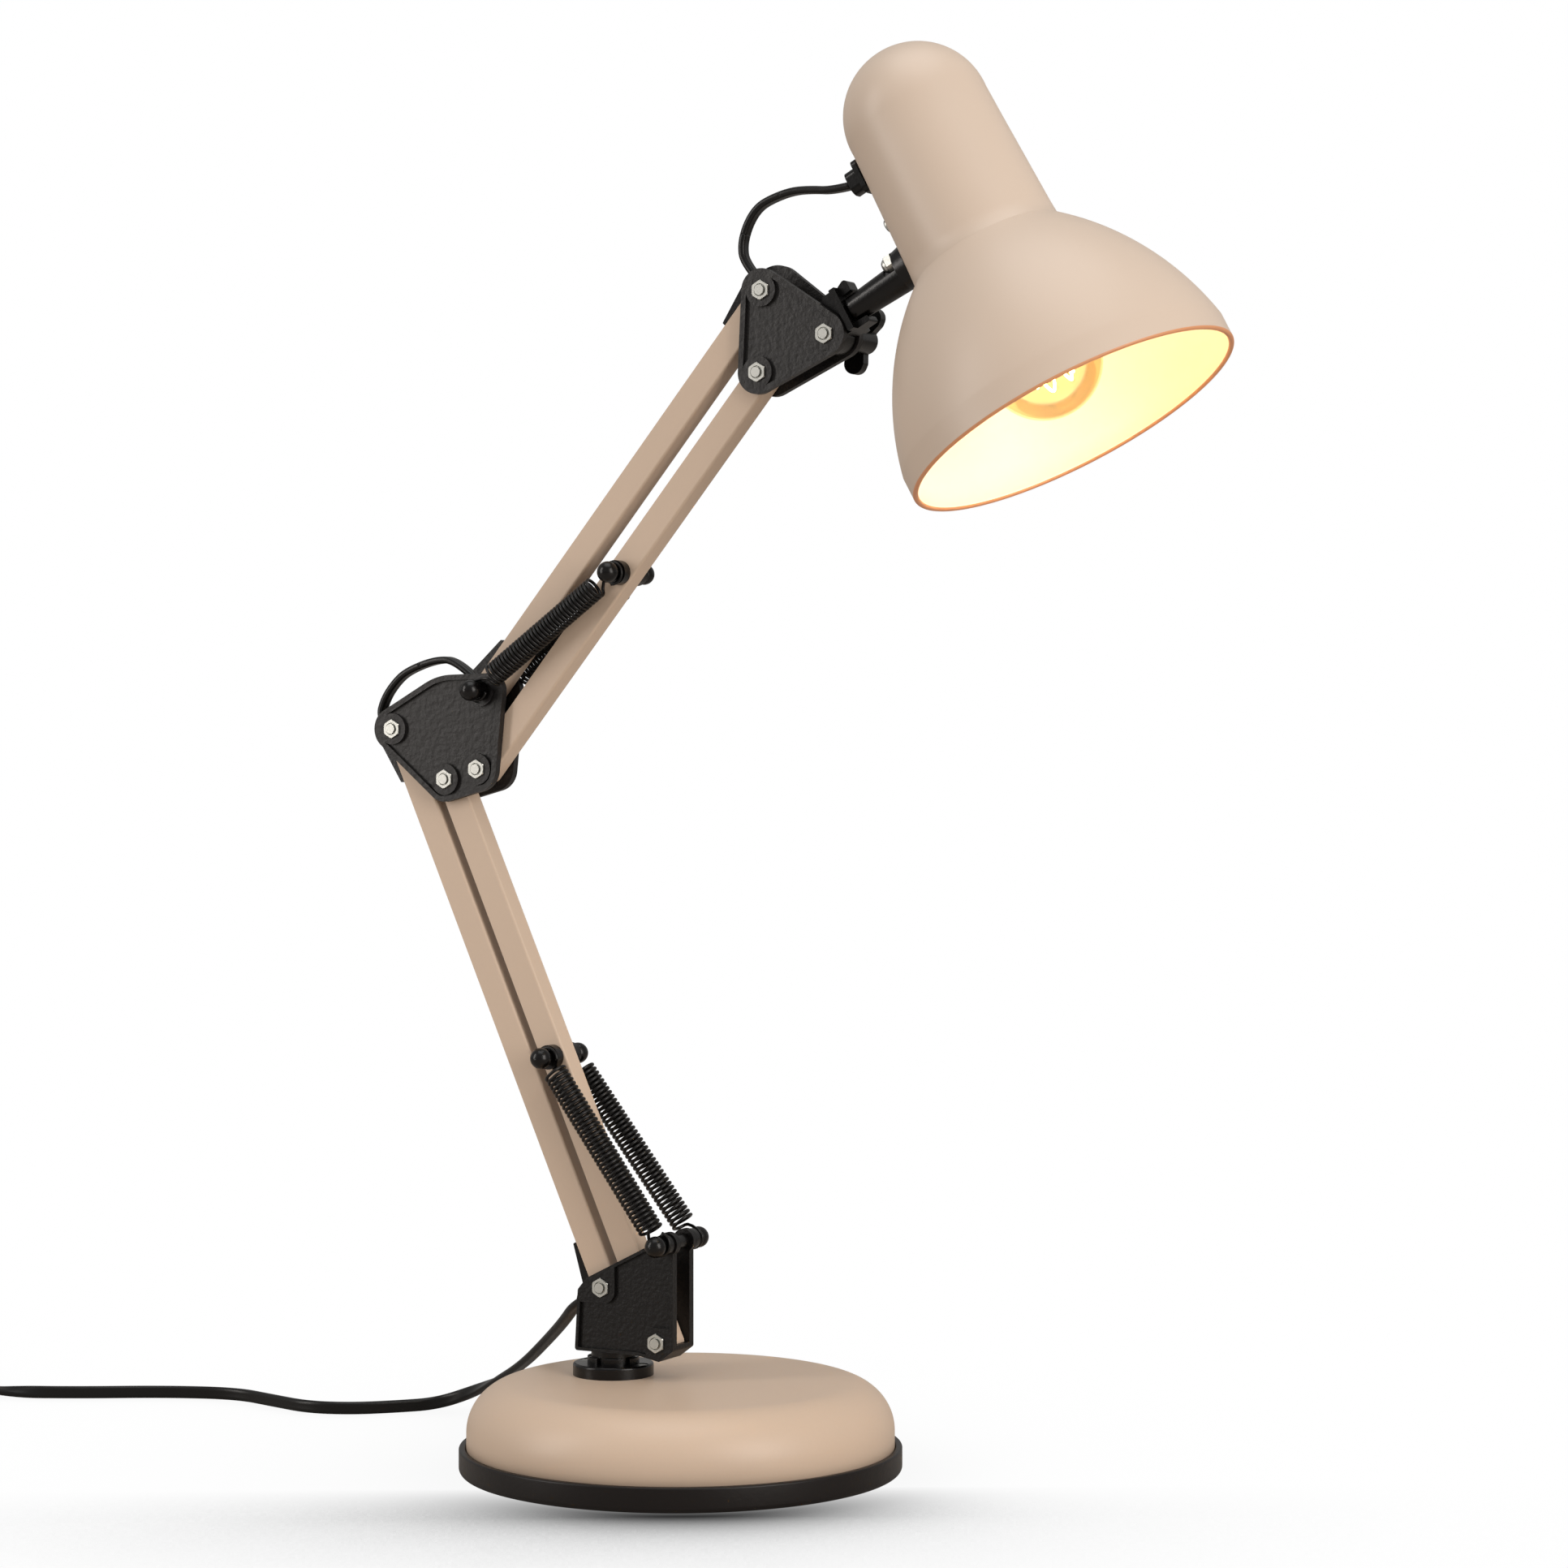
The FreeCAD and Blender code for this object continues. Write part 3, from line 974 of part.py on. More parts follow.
def make_plug():
    relief, length = size.plug_relief, size.plug_length
    half = size.plug_width / 2
    body = Piece("plug_blank")
    body.pad([rounded([(-2.8, 0, 1.0), (2.8, 0, 1.0), (4.6, relief, 6.0), (half, relief + 12, 6.0),
                       (half, relief + length, 1.5), (-half, relief + length, 1.5), (-half, relief + 12, 6.0),
                       (-4.6, relief, 6.0)])], "plug_height", role="XY_Plane", middle=True)
    taper = Piece("plug_side")
    thick = size.plug_height / 2
    taper.pad([rounded([(0, -2.8, 0), (0, 2.8, 0), (relief, 4.0, 4.0), (relief + 10, thick, 4.0),
                        (relief + length, thick, 1.0), (relief + length, -thick, 1.0),
                        (relief + 10, -thick, 4.0), (relief, -4.0, 4.0)][::-1])], "plug_width + 2", role="YZ_Plane",
              middle=True)
    whole = doc.addObject("Part::MultiCommon", "plug_body")
    whole.Shapes = [body.body, taper.body]
    node(whole)
    whole.Placement = FreeCAD.Placement(plug_inlet() + SIDE * size.running_gap, FreeCAD.Rotation())
    prongs = Piece("plug_prongs", several=True)
    half_span = size.prong_spacing / 2
    prongs.pad([circle(side * half_span, 0, size.prong_radius) for side in (-1, 1)], "prong_length", "0")
    keep(prongs.place(plug_inlet() + SIDE * (relief + length + size.prong_length + size.running_gap)))


def make_switch():
    half, side, height = size.switch_length / 2, size.switch_width / 2, size.switch_height
    plan = [(-half, -4.5, 2.0), (-half + 12, -side, 9.0), (half - 12, -side, 9.0), (half, -4.5, 2.0),
            (half, 4.5, 2.0), (half - 12, side, 9.0), (-half + 12, side, 9.0), (-half, 4.5, 2.0)]
    body = Piece("switch_body")
    body.pad([rounded(plan)], "switch_height", "0", "XY_Plane")
    opening_x = size.rocker_length / 2 + size.fit_gap
    opening_y = size.rocker_width / 2 + size.fit_gap
    body.pocket([rounded([(-opening_x, -opening_y, 0.5), (opening_x, -opening_y, 0.5), (opening_x, opening_y, 0.5),
                          (-opening_x, opening_y, 0.5)])], "7", "switch_height", "XY_Plane")
    axle = height - size.rocker_axle_depth
    body.pocket([circle(0, axle, size.rocker_axle_radius + size.running_gap)],
                "rocker_width + rocker_axle_reach * 2 + fit_gap * 2", middle=True)
    keep(body.place(Vec(size.switch_x, size.switch_y, 0)))
    end, deep = size.rocker_length / 2 - 0.6, 3.6
    rocker = Piece("switch_rocker")
    rocker.pad([rounded([(-end + 1.2, -deep, 1.0), (end - 1.2, -deep, 1.0), (end, size.rocker_rise, 0.8),
                         (0, size.rocker_rise - 1.6, 6.0), (-end, size.rocker_rise, 0.8)])], "rocker_width",
               middle=True)
    rocker.pad([circle(0, 0, size.rocker_axle_radius)], "rocker_width + rocker_axle_reach * 2", middle=True)
    keep(rocker.place(Vec(size.switch_x, size.switch_y, axle)))


# ---------------------------------------------------------------- build, check and write
make_base()
make_swivel()
make_lower_bracket()
make_elbow()
make_head_bracket()
make_pins()
cord_mouths = make_arms()
make_springs()
make_tilt()
make_stem()
gland_face = make_shade()
make_cords(cord_mouths, gland_face)
make_coil()
make_plug()
make_switch()
doc.recompute()

for item in doc.Objects:
    if "Invalid" in item.State or "Error" in item.State:
        raise RuntimeError(f"{item.Name} failed: {item.State}")
for item in NODES:
    if item.Shape.isNull() or not item.Shape.isValid():
        raise RuntimeError(f"{item.Label} has no valid shape")
for item in NODES:
    item.Shape.exportStep(f"parts/{item.Label}.step")
print(f"{len(NODES)} nodes written")
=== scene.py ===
import json
import math

import bpy
import bmesh
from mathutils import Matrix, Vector


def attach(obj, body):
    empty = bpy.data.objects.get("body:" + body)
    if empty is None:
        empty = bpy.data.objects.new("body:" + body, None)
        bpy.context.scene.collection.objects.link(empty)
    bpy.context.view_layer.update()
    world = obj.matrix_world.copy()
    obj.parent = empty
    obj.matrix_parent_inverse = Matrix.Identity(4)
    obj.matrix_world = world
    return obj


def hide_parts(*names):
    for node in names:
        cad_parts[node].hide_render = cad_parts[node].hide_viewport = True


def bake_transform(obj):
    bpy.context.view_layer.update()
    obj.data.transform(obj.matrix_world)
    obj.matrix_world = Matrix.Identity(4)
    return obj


# Looks of a spring-balanced desk lamp.  Metres, +Z up, the arms in the XZ plane.

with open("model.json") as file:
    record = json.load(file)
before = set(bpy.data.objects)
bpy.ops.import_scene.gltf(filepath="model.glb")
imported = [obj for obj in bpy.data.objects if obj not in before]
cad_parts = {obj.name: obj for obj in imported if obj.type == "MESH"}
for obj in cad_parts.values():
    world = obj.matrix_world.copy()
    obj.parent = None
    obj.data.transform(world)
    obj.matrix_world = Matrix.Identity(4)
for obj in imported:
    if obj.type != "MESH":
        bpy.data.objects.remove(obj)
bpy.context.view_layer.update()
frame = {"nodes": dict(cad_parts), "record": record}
NODES = frame["nodes"]
MM = 0.001
UP = Vector((0, 0, 1))
SIDE = Vector((0, 1, 0))


def mm(x, y, z):
    """A place given in millimetres."""
    return Vector((x, y, z)) * MM


def polar(length, degrees):
    """A length in millimetres laid off at an angle in the plane of the arms."""
    return Vector((math.cos(math.radians(degrees)), 0, math.sin(math.radians(degrees)))) * length * MM


# ---------------------------------------------------------------- the mechanism's places
# angles in degrees from +X towards +Z, lengths in millimetres
LOWER_ANGLE = 113.94
UPPER_ANGLE = 50.27
STEM_ANGLE = 28.85
LOWER_LENGTH = 243.8
UPPER_LENGTH = 201.8
STEM_OFFSET = 4.2
STEM_REACH = 71.0
NECK_STATION = 84.8
LOWER_STUD_REACH = 122.0
UPPER_STUD_REACH = 102.0
# from a pivot of an arm's first bar to its second bar's
LOWER_PAIR = mm(25.4, 0, -20.4)
UPPER_PAIR = mm(-1.5, 0, -31.8)
SHOULDER = mm(-32.0, 0, 71.6)
SHOULDER_REAR = SHOULDER + LOWER_PAIR
ELBOW = SHOULDER + polar(LOWER_LENGTH, LOWER_ANGLE)
ELBOW_REAR = ELBOW + LOWER_PAIR
UPPER = ELBOW + mm(42.3, 0, 15.6)
UPPER_REAR = UPPER + UPPER_PAIR
HEAD = UPPER + polar(UPPER_LENGTH, UPPER_ANGLE)
HEAD_REAR = HEAD + UPPER_PAIR
TILT = HEAD + mm(27.8, 0, -18.2)
STEM_WAY = polar(1, STEM_ANGLE) / MM
SHADE_UP = polar(1, STEM_ANGLE + 90) / MM
STEM_START = TILT + SHADE_UP * STEM_OFFSET * MM
NECK = STEM_START + STEM_WAY * STEM_REACH * MM
RIM = NECK - SHADE_UP * NECK_STATION * MM
BASE_PIN = mm(-1.7, 0, 90.8)
LOWER_STUD = SHOULDER_REAR + polar(LOWER_STUD_REACH, LOWER_ANGLE)
UPPER_STUD = UPPER_REAR + polar(UPPER_STUD_REACH, UPPER_ANGLE)

# ---------------------------------------------------------------- camera
camera = bpy.data.objects.new("camera", bpy.data.cameras.new("camera"))
camera.location = (0.7530, -1.3403, 0.2996)
camera.rotation_euler = (math.radians(89.0), 0, math.radians(27.8))
camera.data.lens = 89.07
camera.data.sensor_width = 36
bpy.context.scene.collection.objects.link(camera)
bpy.context.scene.camera = camera


# ---------------------------------------------------------------- colours and materials
def colour(code):
    """A linear colour from an sRGB hex code."""
    parts = [int(code[i:i + 2], 16) / 255 for i in (1, 3, 5)]
    return [p / 12.92 if p <= 0.04045 else ((p + 0.055) / 1.055) ** 2.4 for p in parts] + [1.0]


def add(tree, kind, inputs=None, **settings):
    """Adds a shader node; inputs are values or sockets, by name or number."""
    item = tree.nodes.new(kind)
    for name, value in settings.items():
        setattr(item, name, value)
    for name, value in (inputs or {}).items():
        if isinstance(value, bpy.types.NodeSocket):
            tree.links.new(value, item.inputs[name])
        else:
            item.inputs[name].default_value = value
    return item


def material(name):
    """A new node material and its principled shader."""
    made = bpy.data.materials.new(name)
    made.use_nodes = True
    return made, made.node_tree, made.node_tree.nodes["Principled BSDF"]


def grain(tree, shader, per_metre, strength, depth, detail):
    """A bump from noise fixed to the piece, with so many grains to the metre."""
    place = add(tree, "ShaderNodeTexCoord")
    noise = add(tree, "ShaderNodeTexNoise", {"Vector": place.outputs["Object"], "Scale": per_metre,
                                             "Detail": detail})
    bump = add(tree, "ShaderNodeBump", {"Height": noise.outputs[0], "Strength": strength, "Distance": depth})
    tree.links.new(bump.outputs[0], shader.inputs["Normal"])
    return noise


def orange_peel(tree, shader):
    """The low waves of a sprayed and baked coat, about a millimetre wide."""
    return grain(tree, shader, 900.0, 0.10, 0.0001, 2.0)


def powder_coat(name, code):
    """Matte polyester powder coat on steel: an even colour, a fine orange-peel skin and a soft sheen."""
    made, tree, shader = material(name)
    noise = orange_peel(tree, shader)
    tint = add(tree, "ShaderNodeMix", {"Factor": noise.outputs[0]}, data_type="RGBA")
    tint.inputs["A"].default_value = colour(code)
    tint.inputs["B"].default_value = [c * 1.03 for c in colour(code)[:3]] + [1]
    tree.links.new(tint.outputs["Result"], shader.inputs["Base Color"])
    shader.inputs["Roughness"].default_value = COAT_ROUGHNESS
    shader.inputs["Specular IOR Level"].default_value = 0.42
    return made


def moulded(name, code, roughness, per_metre, strength, gloss=0.5):
    """Moulded plastic, rubber or cast iron: one dark colour, and the grain of its mould."""
    made, tree, shader = material(name)
    grain(tree, shader, per_metre, strength, 0.0004, 4.0)
    shader.inputs["Base Color"].default_value = colour(code)
    shader.inputs["Roughness"].default_value = roughness
    shader.inputs["Specular IOR Level"].default_value = gloss
    return made


def plain(name, code, roughness, metallic=0.0):
    """A smooth finish of one colour, such as drawn wire or a plated pressing."""
    made, tree, shader = material(name)
    shader.inputs["Base Color"].default_value = colour(code)
    shader.inputs["Roughness"].default_value = roughness
    shader.inputs["Metallic"].default_value = metallic
    return made


def zinc_plate():
    """Bright zinc plating on steel: silvery, with a sheen that varies a little over the faces."""
    made, tree, shader = material("bright_zinc_plate")
    noise = grain(tree, shader, 1400.0, 0.12, 0.0001, 2.0)
    shader.inputs["Base Color"].default_value = colour("#bcbdb8")
    shader.inputs["Metallic"].default_value = 1.0
    spread = add(tree, "ShaderNodeMapRange", {"Value": noise.outputs[0], "To Min": 0.3, "To Max": 0.46})
    tree.links.new(spread.outputs[0], shader.inputs["Roughness"])
    return made


def bulb_glass():
    """Clear soda-lime glass, thin-walled: the filament shows through, and the edge has a painted amber glow.
    """
    made, tree, shader = material("clear_bulb_glass_painted_glow")
    clear = add(tree, "ShaderNodeBsdfTransparent", {"Color": colour("#fffaee")})
    gloss = add(tree, "ShaderNodeBsdfGlossy", {"Roughness": 0.05, "Color": colour("#fff2d8")})
    # painted glow: amber emission on the glass's outline, as if lit by the filament
    lit = add(tree, "ShaderNodeEmission", {"Color": colour("#eeb265"), "Strength": 0.85})
    edge = add(tree, "ShaderNodeLayerWeight", {"Blend": 0.25})
    rim = add(tree, "ShaderNodeMath", {0: edge.outputs["Facing"], 1: 11.0}, operation="POWER")
    painted_glow_mask = add(tree, "ShaderNodeMath", {0: rim.outputs[0], 1: 0.3}, operation="MULTIPLY")
    shine = add(tree, "ShaderNodeMath", {0: edge.outputs["Fresnel"], 1: 0.5}, operation="MULTIPLY")
    mixed = add(tree, "ShaderNodeMixShader", {0: shine.outputs[0], 1: clear.outputs[0], 2: gloss.outputs[0]})
    both = add(tree, "ShaderNodeMixShader", {0: painted_glow_mask.outputs[0], 1: mixed.outputs[0], 2: lit.outputs[0]})
    tree.links.new(both.outputs[0], tree.nodes["Material Output"].inputs["Surface"])
    return made


def glowing(name, code, strength):
    """Hot tungsten, which gives the bulb's light, or glass with a painted glow as if lit by it: light of one
    colour.
    """
    made, tree, shader = material(name)
    shader.inputs["Base Color"].default_value = colour(code)
    shader.inputs["Emission Color"].default_value = colour(code)
    shader.inputs["Emission Strength"].default_value = strength
    return made


def shade_paint_with_edge_glow():
    """One sheet painted beige outside and cream inside; the beige is tinted for the light on the shade, a
    painted light, and the rolled edge has a painted glow of the bulb's light in orange colour and emission;
    a UV row tells them apart."""
    made, tree, shader = material("shade_paint_two_sided_painted_glow")
    rows = add(tree, "ShaderNodeUVMap", uv_map="UVMap")
    split = add(tree, "ShaderNodeSeparateXYZ", {0: rows.outputs[0]})
    paint_ramp_with_painted_edge = add(tree, "ShaderNodeValToRGB", {0: split.outputs[1]})
    warm = add(tree, "ShaderNodeValToRGB", {0: split.outputs[1]})
    # the middle stop is the rolled edge: its orange colour and its emission are a painted glow of the bulb's
    # light
    paints_and_painted_edge_light = (SHADE_BEIGE_TINTED_FOR_LIGHT, "#c98f66", "#fff8ea")
    painted_edge_glow = ("#000000", "#4a2817", "#000000")
    for ramp, codes in ((paint_ramp_with_painted_edge, paints_and_painted_edge_light), (warm, painted_edge_glow)):
        ramp.color_ramp.interpolation = "CONSTANT"
        ramp.color_ramp.elements.new(0.35)
        for stop, place, code in zip(ramp.color_ramp.elements, (0.0, 0.35, 0.65), codes):
            stop.position = place
            stop.color = colour(code)
    tree.links.new(paint_ramp_with_painted_edge.outputs[0], shader.inputs["Base Color"])
    tree.links.new(warm.outputs[0], shader.inputs["Emission Color"])
    shader.inputs["Emission Strength"].default_value = 1.0
    orange_peel(tree, shader)
    shader.inputs["Roughness"].default_value = COAT_ROUGHNESS
    shader.inputs["Specular IOR Level"].default_value = 0.45
    return made


BEIGE = "#c9b39e"
# the arms' beige paint, given another tint for how the light falls on the shade: painted light
SHADE_BEIGE_TINTED_FOR_LIGHT = "#cab8a7"
COAT_ROUGHNESS = 0.42
beige = powder_coat("beige_powder_coat", BEIGE)
# black nylon: glossy on small mouldings, finely grained on the lower bracket, dull and coarser on the plates
nylon = moulded("black_nylon", "#070606", 0.26, 700.0, 0.15, 0.32)
nylon_fine = moulded("black_nylon_fine_grain", "#080707", 0.42, 600.0, 0.6, 0.3)
nylon_grained = moulded("black_nylon_grained", "#0f0d0d", 0.48, 420.0, 0.9)
# polypropylene: near black with a brown tint and a dull sheen
brown = moulded("dark_brown_polypropylene", "#0d0807", 0.4, 500.0, 0.15, 0.3)
zinc = zinc_plate()
# oxidised spring wire: dark, with a thin highlight on each turn
spring_steel = plain("black_oxide_spring_wire", "#060505", 0.34, 0.3)
# a PVC sheath: black and smooth
pvc = moulded("black_pvc_cord", "#060606", 0.34, 300.0, 0.1, 0.35)
# the base's pad and weight: matt black rubber, and cast iron in rough dark grey
rubber = moulded("black_rubber", "#0e0e0e", 0.8, 300.0, 0.3)
iron = moulded("cast_iron", "#262524", 0.75, 260.0, 0.8)
# polished metals: yellow brass, and nickel in a warm light grey
brass = plain("brass_prongs", "#c9a257", 0.25, 1.0)
nickel = plain("nickelled_lamp_cap", "#b9b4a8", 0.3, 1.0)
tungsten = glowing("hot_tungsten", "#ffd27a", 40.0)
# the bulb's glass mount: a painted glow, as if lit by the filament
glass_mount_painted_glow = glowing("glass_stem_painted_glow", "#ffcf7d", 1.4)
glass = bulb_glass()
shade_look_with_edge_glow = shade_paint_with_edge_glow()

SLOT_LOOKS = {
    "beige": beige, "plastic_black": nylon, "plastic_brown": brown, "rubber_black": rubber, "iron": iron,
    "zinc": zinc, "cord_black": pvc, "spring_black": spring_steel, "glass": glass, "bulb_metal": nickel,
    "filament": glass_mount_painted_glow, "brass": brass,
}
NODE_LOOKS = {
    "elbow_plate_front": nylon_grained, "elbow_plate_rear": nylon_grained,
    "head_plate_front": nylon_grained, "head_plate_rear": nylon_grained, "lower_bracket": nylon_fine,
}
for item in frame["record"]["subparts"]:
    look = NODE_LOOKS.get(item["node"], SLOT_LOOKS[item["material_slot"]])
    for holder in NODES[item["node"]].material_slots:
        holder.material = look


# ---------------------------------------------------------------- mesh helpers
def mesh_piece(name, verts, faces, look, body, replaced=(), smooth=True):
    """A finished piece at the origin that rides on a body."""
    data = bpy.data.meshes.new(name)
    data.from_pydata([tuple(v) for v in verts], [], faces)
    data.materials.append(look)
    clean = bmesh.new()
    clean.from_mesh(data)
    bmesh.ops.remove_doubles(clean, verts=clean.verts, dist=1e-7)
    bmesh.ops.recalc_face_normals(clean, faces=clean.faces)
    clean.to_mesh(data)
    clean.free()
    data.polygons.foreach_set("use_smooth", [smooth] * len(data.polygons))
    made = bpy.data.objects.new(name, data)
    bpy.context.scene.collection.objects.link(made)
    if body:
        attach(made, body)
    if replaced:
        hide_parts(*replaced)
    return made


def arc_points(centre, radius, start, end, steps):
    """Points of an arc in (radius, height) coordinates; angles in degrees."""
    return [(centre[0] + radius * math.cos(math.radians(start + (end - start) * i / steps)),
             centre[1] + radius * math.sin(math.radians(start + (end - start) * i / steps)))
            for i in range(steps + 1)]


def three_point_arc(a, b, c, steps):
    """Points of the arc from a through b to c."""
    ax, ay, bx, by, cx, cy = *a, *b, *c
    first_square, middle_square, last_square = ax * ax + ay * ay, bx * bx + by * by, cx * cx + cy * cy
    d = 2 * (ax * (by - cy) + bx * (cy - ay) + cx * (ay - by))
    ux = (first_square * (by - cy) + middle_square * (cy - ay) + last_square * (ay - by)) / d
    uy = (first_square * (cx - bx) + middle_square * (ax - cx) + last_square * (bx - ax)) / d
    radius = math.hypot(ax - ux, ay - uy)
    first = math.degrees(math.atan2(ay - uy, ax - ux))
    middle = math.degrees(math.atan2(by - uy, bx - ux))
    last = math.degrees(math.atan2(cy - uy, cx - ux))
    turn = (last - first) % 360
    if (middle - first) % 360 > turn:
        turn -= 360
    return arc_points((ux, uy), radius, first, first + turn, steps)


def lathe(name, profile, origin, axis, look, body, replaced=(), sides=192):
    """Turns a closed (radius, height) profile in millimetres about an axis through origin."""
    axis = axis.normalized()
    across = axis.orthogonal().normalized()
    around = axis.cross(across)
    verts, faces = [], []
    for radius, height in profile:
        for k in range(sides):
            angle = 2 * math.pi * k / sides
            spoke = across * math.cos(angle) + around * math.sin(angle)
            verts.append(origin + axis * height * MM + spoke * radius * MM)
    count = len(profile)
    for i in range(count):
        j = (i + 1) % count
        for k in range(sides):
            n = (k + 1) % sides
            faces.append((i * sides + k, i * sides + n, j * sides + n, j * sides + k))
    return mesh_piece(name, verts, faces, look, body, replaced)


def tube_faces(rings, count):
    """Faces between neighbouring rings of points, closed at both ends."""
    faces = []
    for i in range(rings - 1):
        for k in range(count):
            n = (k + 1) % count
            faces.append((i * count + k, i * count + n, (i + 1) * count + n, (i + 1) * count + k))
    faces.append(tuple(range(count)))
    faces.append(tuple((rings - 1) * count + k for k in range(count)))
    return faces


def circle(radius, steps):
    """The points of a round section."""
    angles = [2 * math.pi * k / steps for k in range(steps)]
    return [(radius * math.cos(angle), radius * math.sin(angle)) for angle in angles]


def follow(points, section, sides_of=None, offset=Vector((0, 0, 0))):
    """Carries a section [(x, y) metres] along points; sides_of gives each point's section x direction."""
    verts = []
    side = None
    for i, point in enumerate(points):
        way = (points[min(i + 1, len(points) - 1)] - points[max(i - 1, 0)]).normalized()
        if sides_of:
            side = sides_of(way, side, point)
        else:
            side = way.orthogonal() if side is None else side
            side = (side - way * side.dot(way)).normalized()
        rise = side.cross(way)
        for x, y in section:
            verts.append(point + side * x + rise * y + offset)
    return verts, tube_faces(len(points), len(section))


# ---------------------------------------------------------------- cords
CORD_WIDTH = 5.4 * MM
CORD_HEIGHT = 3.2 * MM
# the solids' route runs 2.3 mm over the table, and a cord on its edge needs half its width
EDGE_LIFT = 0.5 * MM
# the lead turns on its edge below this height, over this depth
EDGE_TOP = 22.0 * MM
EDGE_DEPTH = 18.0 * MM
# and is flat again from this place to the switch, having turned over this length
SWITCH_SIDE = -352.0 * MM
SWITCH_TURN = 30.0 * MM
# millimetres: the strip's middle off the line of a bar's pivots, and its ends past them
STRIP_RISE = 6.5
STRIP_END = 0.7


def twin_section():
    """Two round cores side by side under one skin, with a shallow groove between them."""
    section = []
    steps = 28
    core = CORD_HEIGHT / 2
    half = CORD_WIDTH / 2 - core
    for i in range(steps):
        angle = 2 * math.pi * i / steps
        x, y = math.cos(angle), math.sin(angle)
        groove = 0.16 * math.exp(-(x / 0.28) ** 2)
        section.append((core * x + half * math.copysign(min(1, abs(x) * 2.2), x), core * y * (1 - groove)))
    return section


def route_points(name, route):
    """The smooth line of a cord's route, read from a NURBS spline."""
    curve = bpy.data.curves.new(name, "CURVE")
    curve.dimensions = "3D"
    spline = curve.splines.new("NURBS")
    spline.points.add(len(route) - 1)
    for point, place in zip(spline.points, route):
        point.co = (*place, 1)
    spline.order_u = 3
    spline.use_endpoint_u = True
    spline.resolution_u = 12
    holder = bpy.data.objects.new(name, curve)
    bpy.context.scene.collection.objects.link(holder)
    line = bpy.data.meshes.new_from_object(holder.evaluated_get(bpy.context.evaluated_depsgraph_get()))
    points = [v.co.copy() for v in line.vertices]
    bpy.data.objects.remove(holder)
    bpy.data.meshes.remove(line)
    return points


# The next three tell `follow` which way a cord's width lies, from its way, the last width and the place.
def in_plane(way, side, point):
    """Cords in the plane of the arms keep their flat side square to it."""
    return SIDE.copy()


def lying(way, side, point):
    """A cord on the table lies on its flat side."""
    level = way.cross(UP)
    return level.normalized() if level.length > 1e-4 else side


def settling(way, side, point):
    """The lead comes down flat and stands on its edge where it bends on the table."""
    flat = lying(way, side, point)
    edge = (UP - way * UP.dot(way)).normalized()
    low = max(0.0, min(1.0, (EDGE_TOP - point.z) / EDGE_DEPTH))
    low *= max(0.0, min(1.0, (point.x - SWITCH_SIDE) / SWITCH_TURN))
    turn = math.pi / 2 * low * low * (3 - 2 * low)
    return flat * math.cos(turn) + edge * math.sin(turn)


def flat_cord(name, route, blend, replaced, sides_of, lift=0.0):
    """A free flat twin cord along a route, between two bodies or on one."""
    points = route_points(name + "_line", route)
    verts, faces = follow(points, twin_section(), sides_of, UP * lift)
    piece = mesh_piece(name, verts, faces, pvc, None)
    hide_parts(*replaced)
    if len(blend) == 2:
        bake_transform(piece)
    else:
        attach(piece, blend[0])


def strip_end(start, degrees, reach):
    """The middle of the flat cord's end where it leaves a bar's guide."""
    along = polar(1, degrees)
    out = polar(1, degrees + 90)
    return start + along * reach + out * STRIP_RISE


ELBOW_SPLIT = mm(-121.45, 0.0, 320.5)
HEAD_SPLIT = mm(29.25, 0.0, 488.25)
TILT_SPLIT = mm(45.5, 0.0, 502.6)
GLAND = RIM + SHADE_UP * 127.0 * MM - STEM_WAY * 36.4 * MM
# the cords' ends where they leave the guides at the bars' ends
shoulder_mouth = strip_end(SHOULDER, LOWER_ANGLE, -STRIP_END)
elbow_mouth = strip_end(SHOULDER, LOWER_ANGLE, LOWER_LENGTH + STRIP_END)
upper_mouth = strip_end(UPPER, UPPER_ANGLE, -STRIP_END)
head_mouth = strip_end(UPPER, UPPER_ANGLE, UPPER_LENGTH + STRIP_END)

# the cords' routes, from end to end
LEAD = [shoulder_mouth, mm(-49.0, 2.0, 62.8), mm(-61.0, 12.5, 53.2), mm(-77.0, 26.0, 42.5),
        mm(-97.5, 40.5, 28.6), mm(-118.0, 53.4, 18.0), mm(-141.0, 67.0, 8.6), mm(-159.0, 67.5, 2.3),
        mm(-170.0, 54.0, 2.3), mm(-184.0, 41.0, 2.3), mm(-203.0, 34.6, 2.3), mm(-226.0, 41.0, 2.3),
        mm(-250.0, 48.0, 2.3), mm(-281.0, 37.0, 2.3), mm(-313.0, 17.5, 2.3), mm(-344.0, 3.5, 2.3),
        mm(-362.0, 2.0, 3.4), mm(-376.9, 2.0, 4.0)]
ELBOW_LOWER = [elbow_mouth, mm(-141.9, 0.0, 299.0), mm(-139.6, 0.0, 306.6), mm(-134.6, 0.0, 313.2),
               mm(-128.4, 0.0, 318.2), ELBOW_SPLIT]
ELBOW_UPPER = [ELBOW_SPLIT, mm(-114.5, 0.0, 322.8), mm(-104.2, 0.0, 322.4), upper_mouth]
HEAD_LOWER = [head_mouth, mm(29.1, 0.0, 477.0), mm(28.0, 0.0, 484.3), HEAD_SPLIT]
HEAD_MIDDLE = [HEAD_SPLIT, mm(30.5, 0.0, 492.2), mm(34.9, 0.0, 498.3), mm(40.8, 0.0, 501.3), TILT_SPLIT]
HEAD_UPPER = [TILT_SPLIT, mm(50.2, 0.0, 503.9), mm(59.0, 0.0, 503.9), mm(67.6, 0.0, 503.0), GLAND]

flat_cord("lead", LEAD, ("yaw", "base"), ("lead_drop", "mains_lead"), settling, lift=EDGE_LIFT)


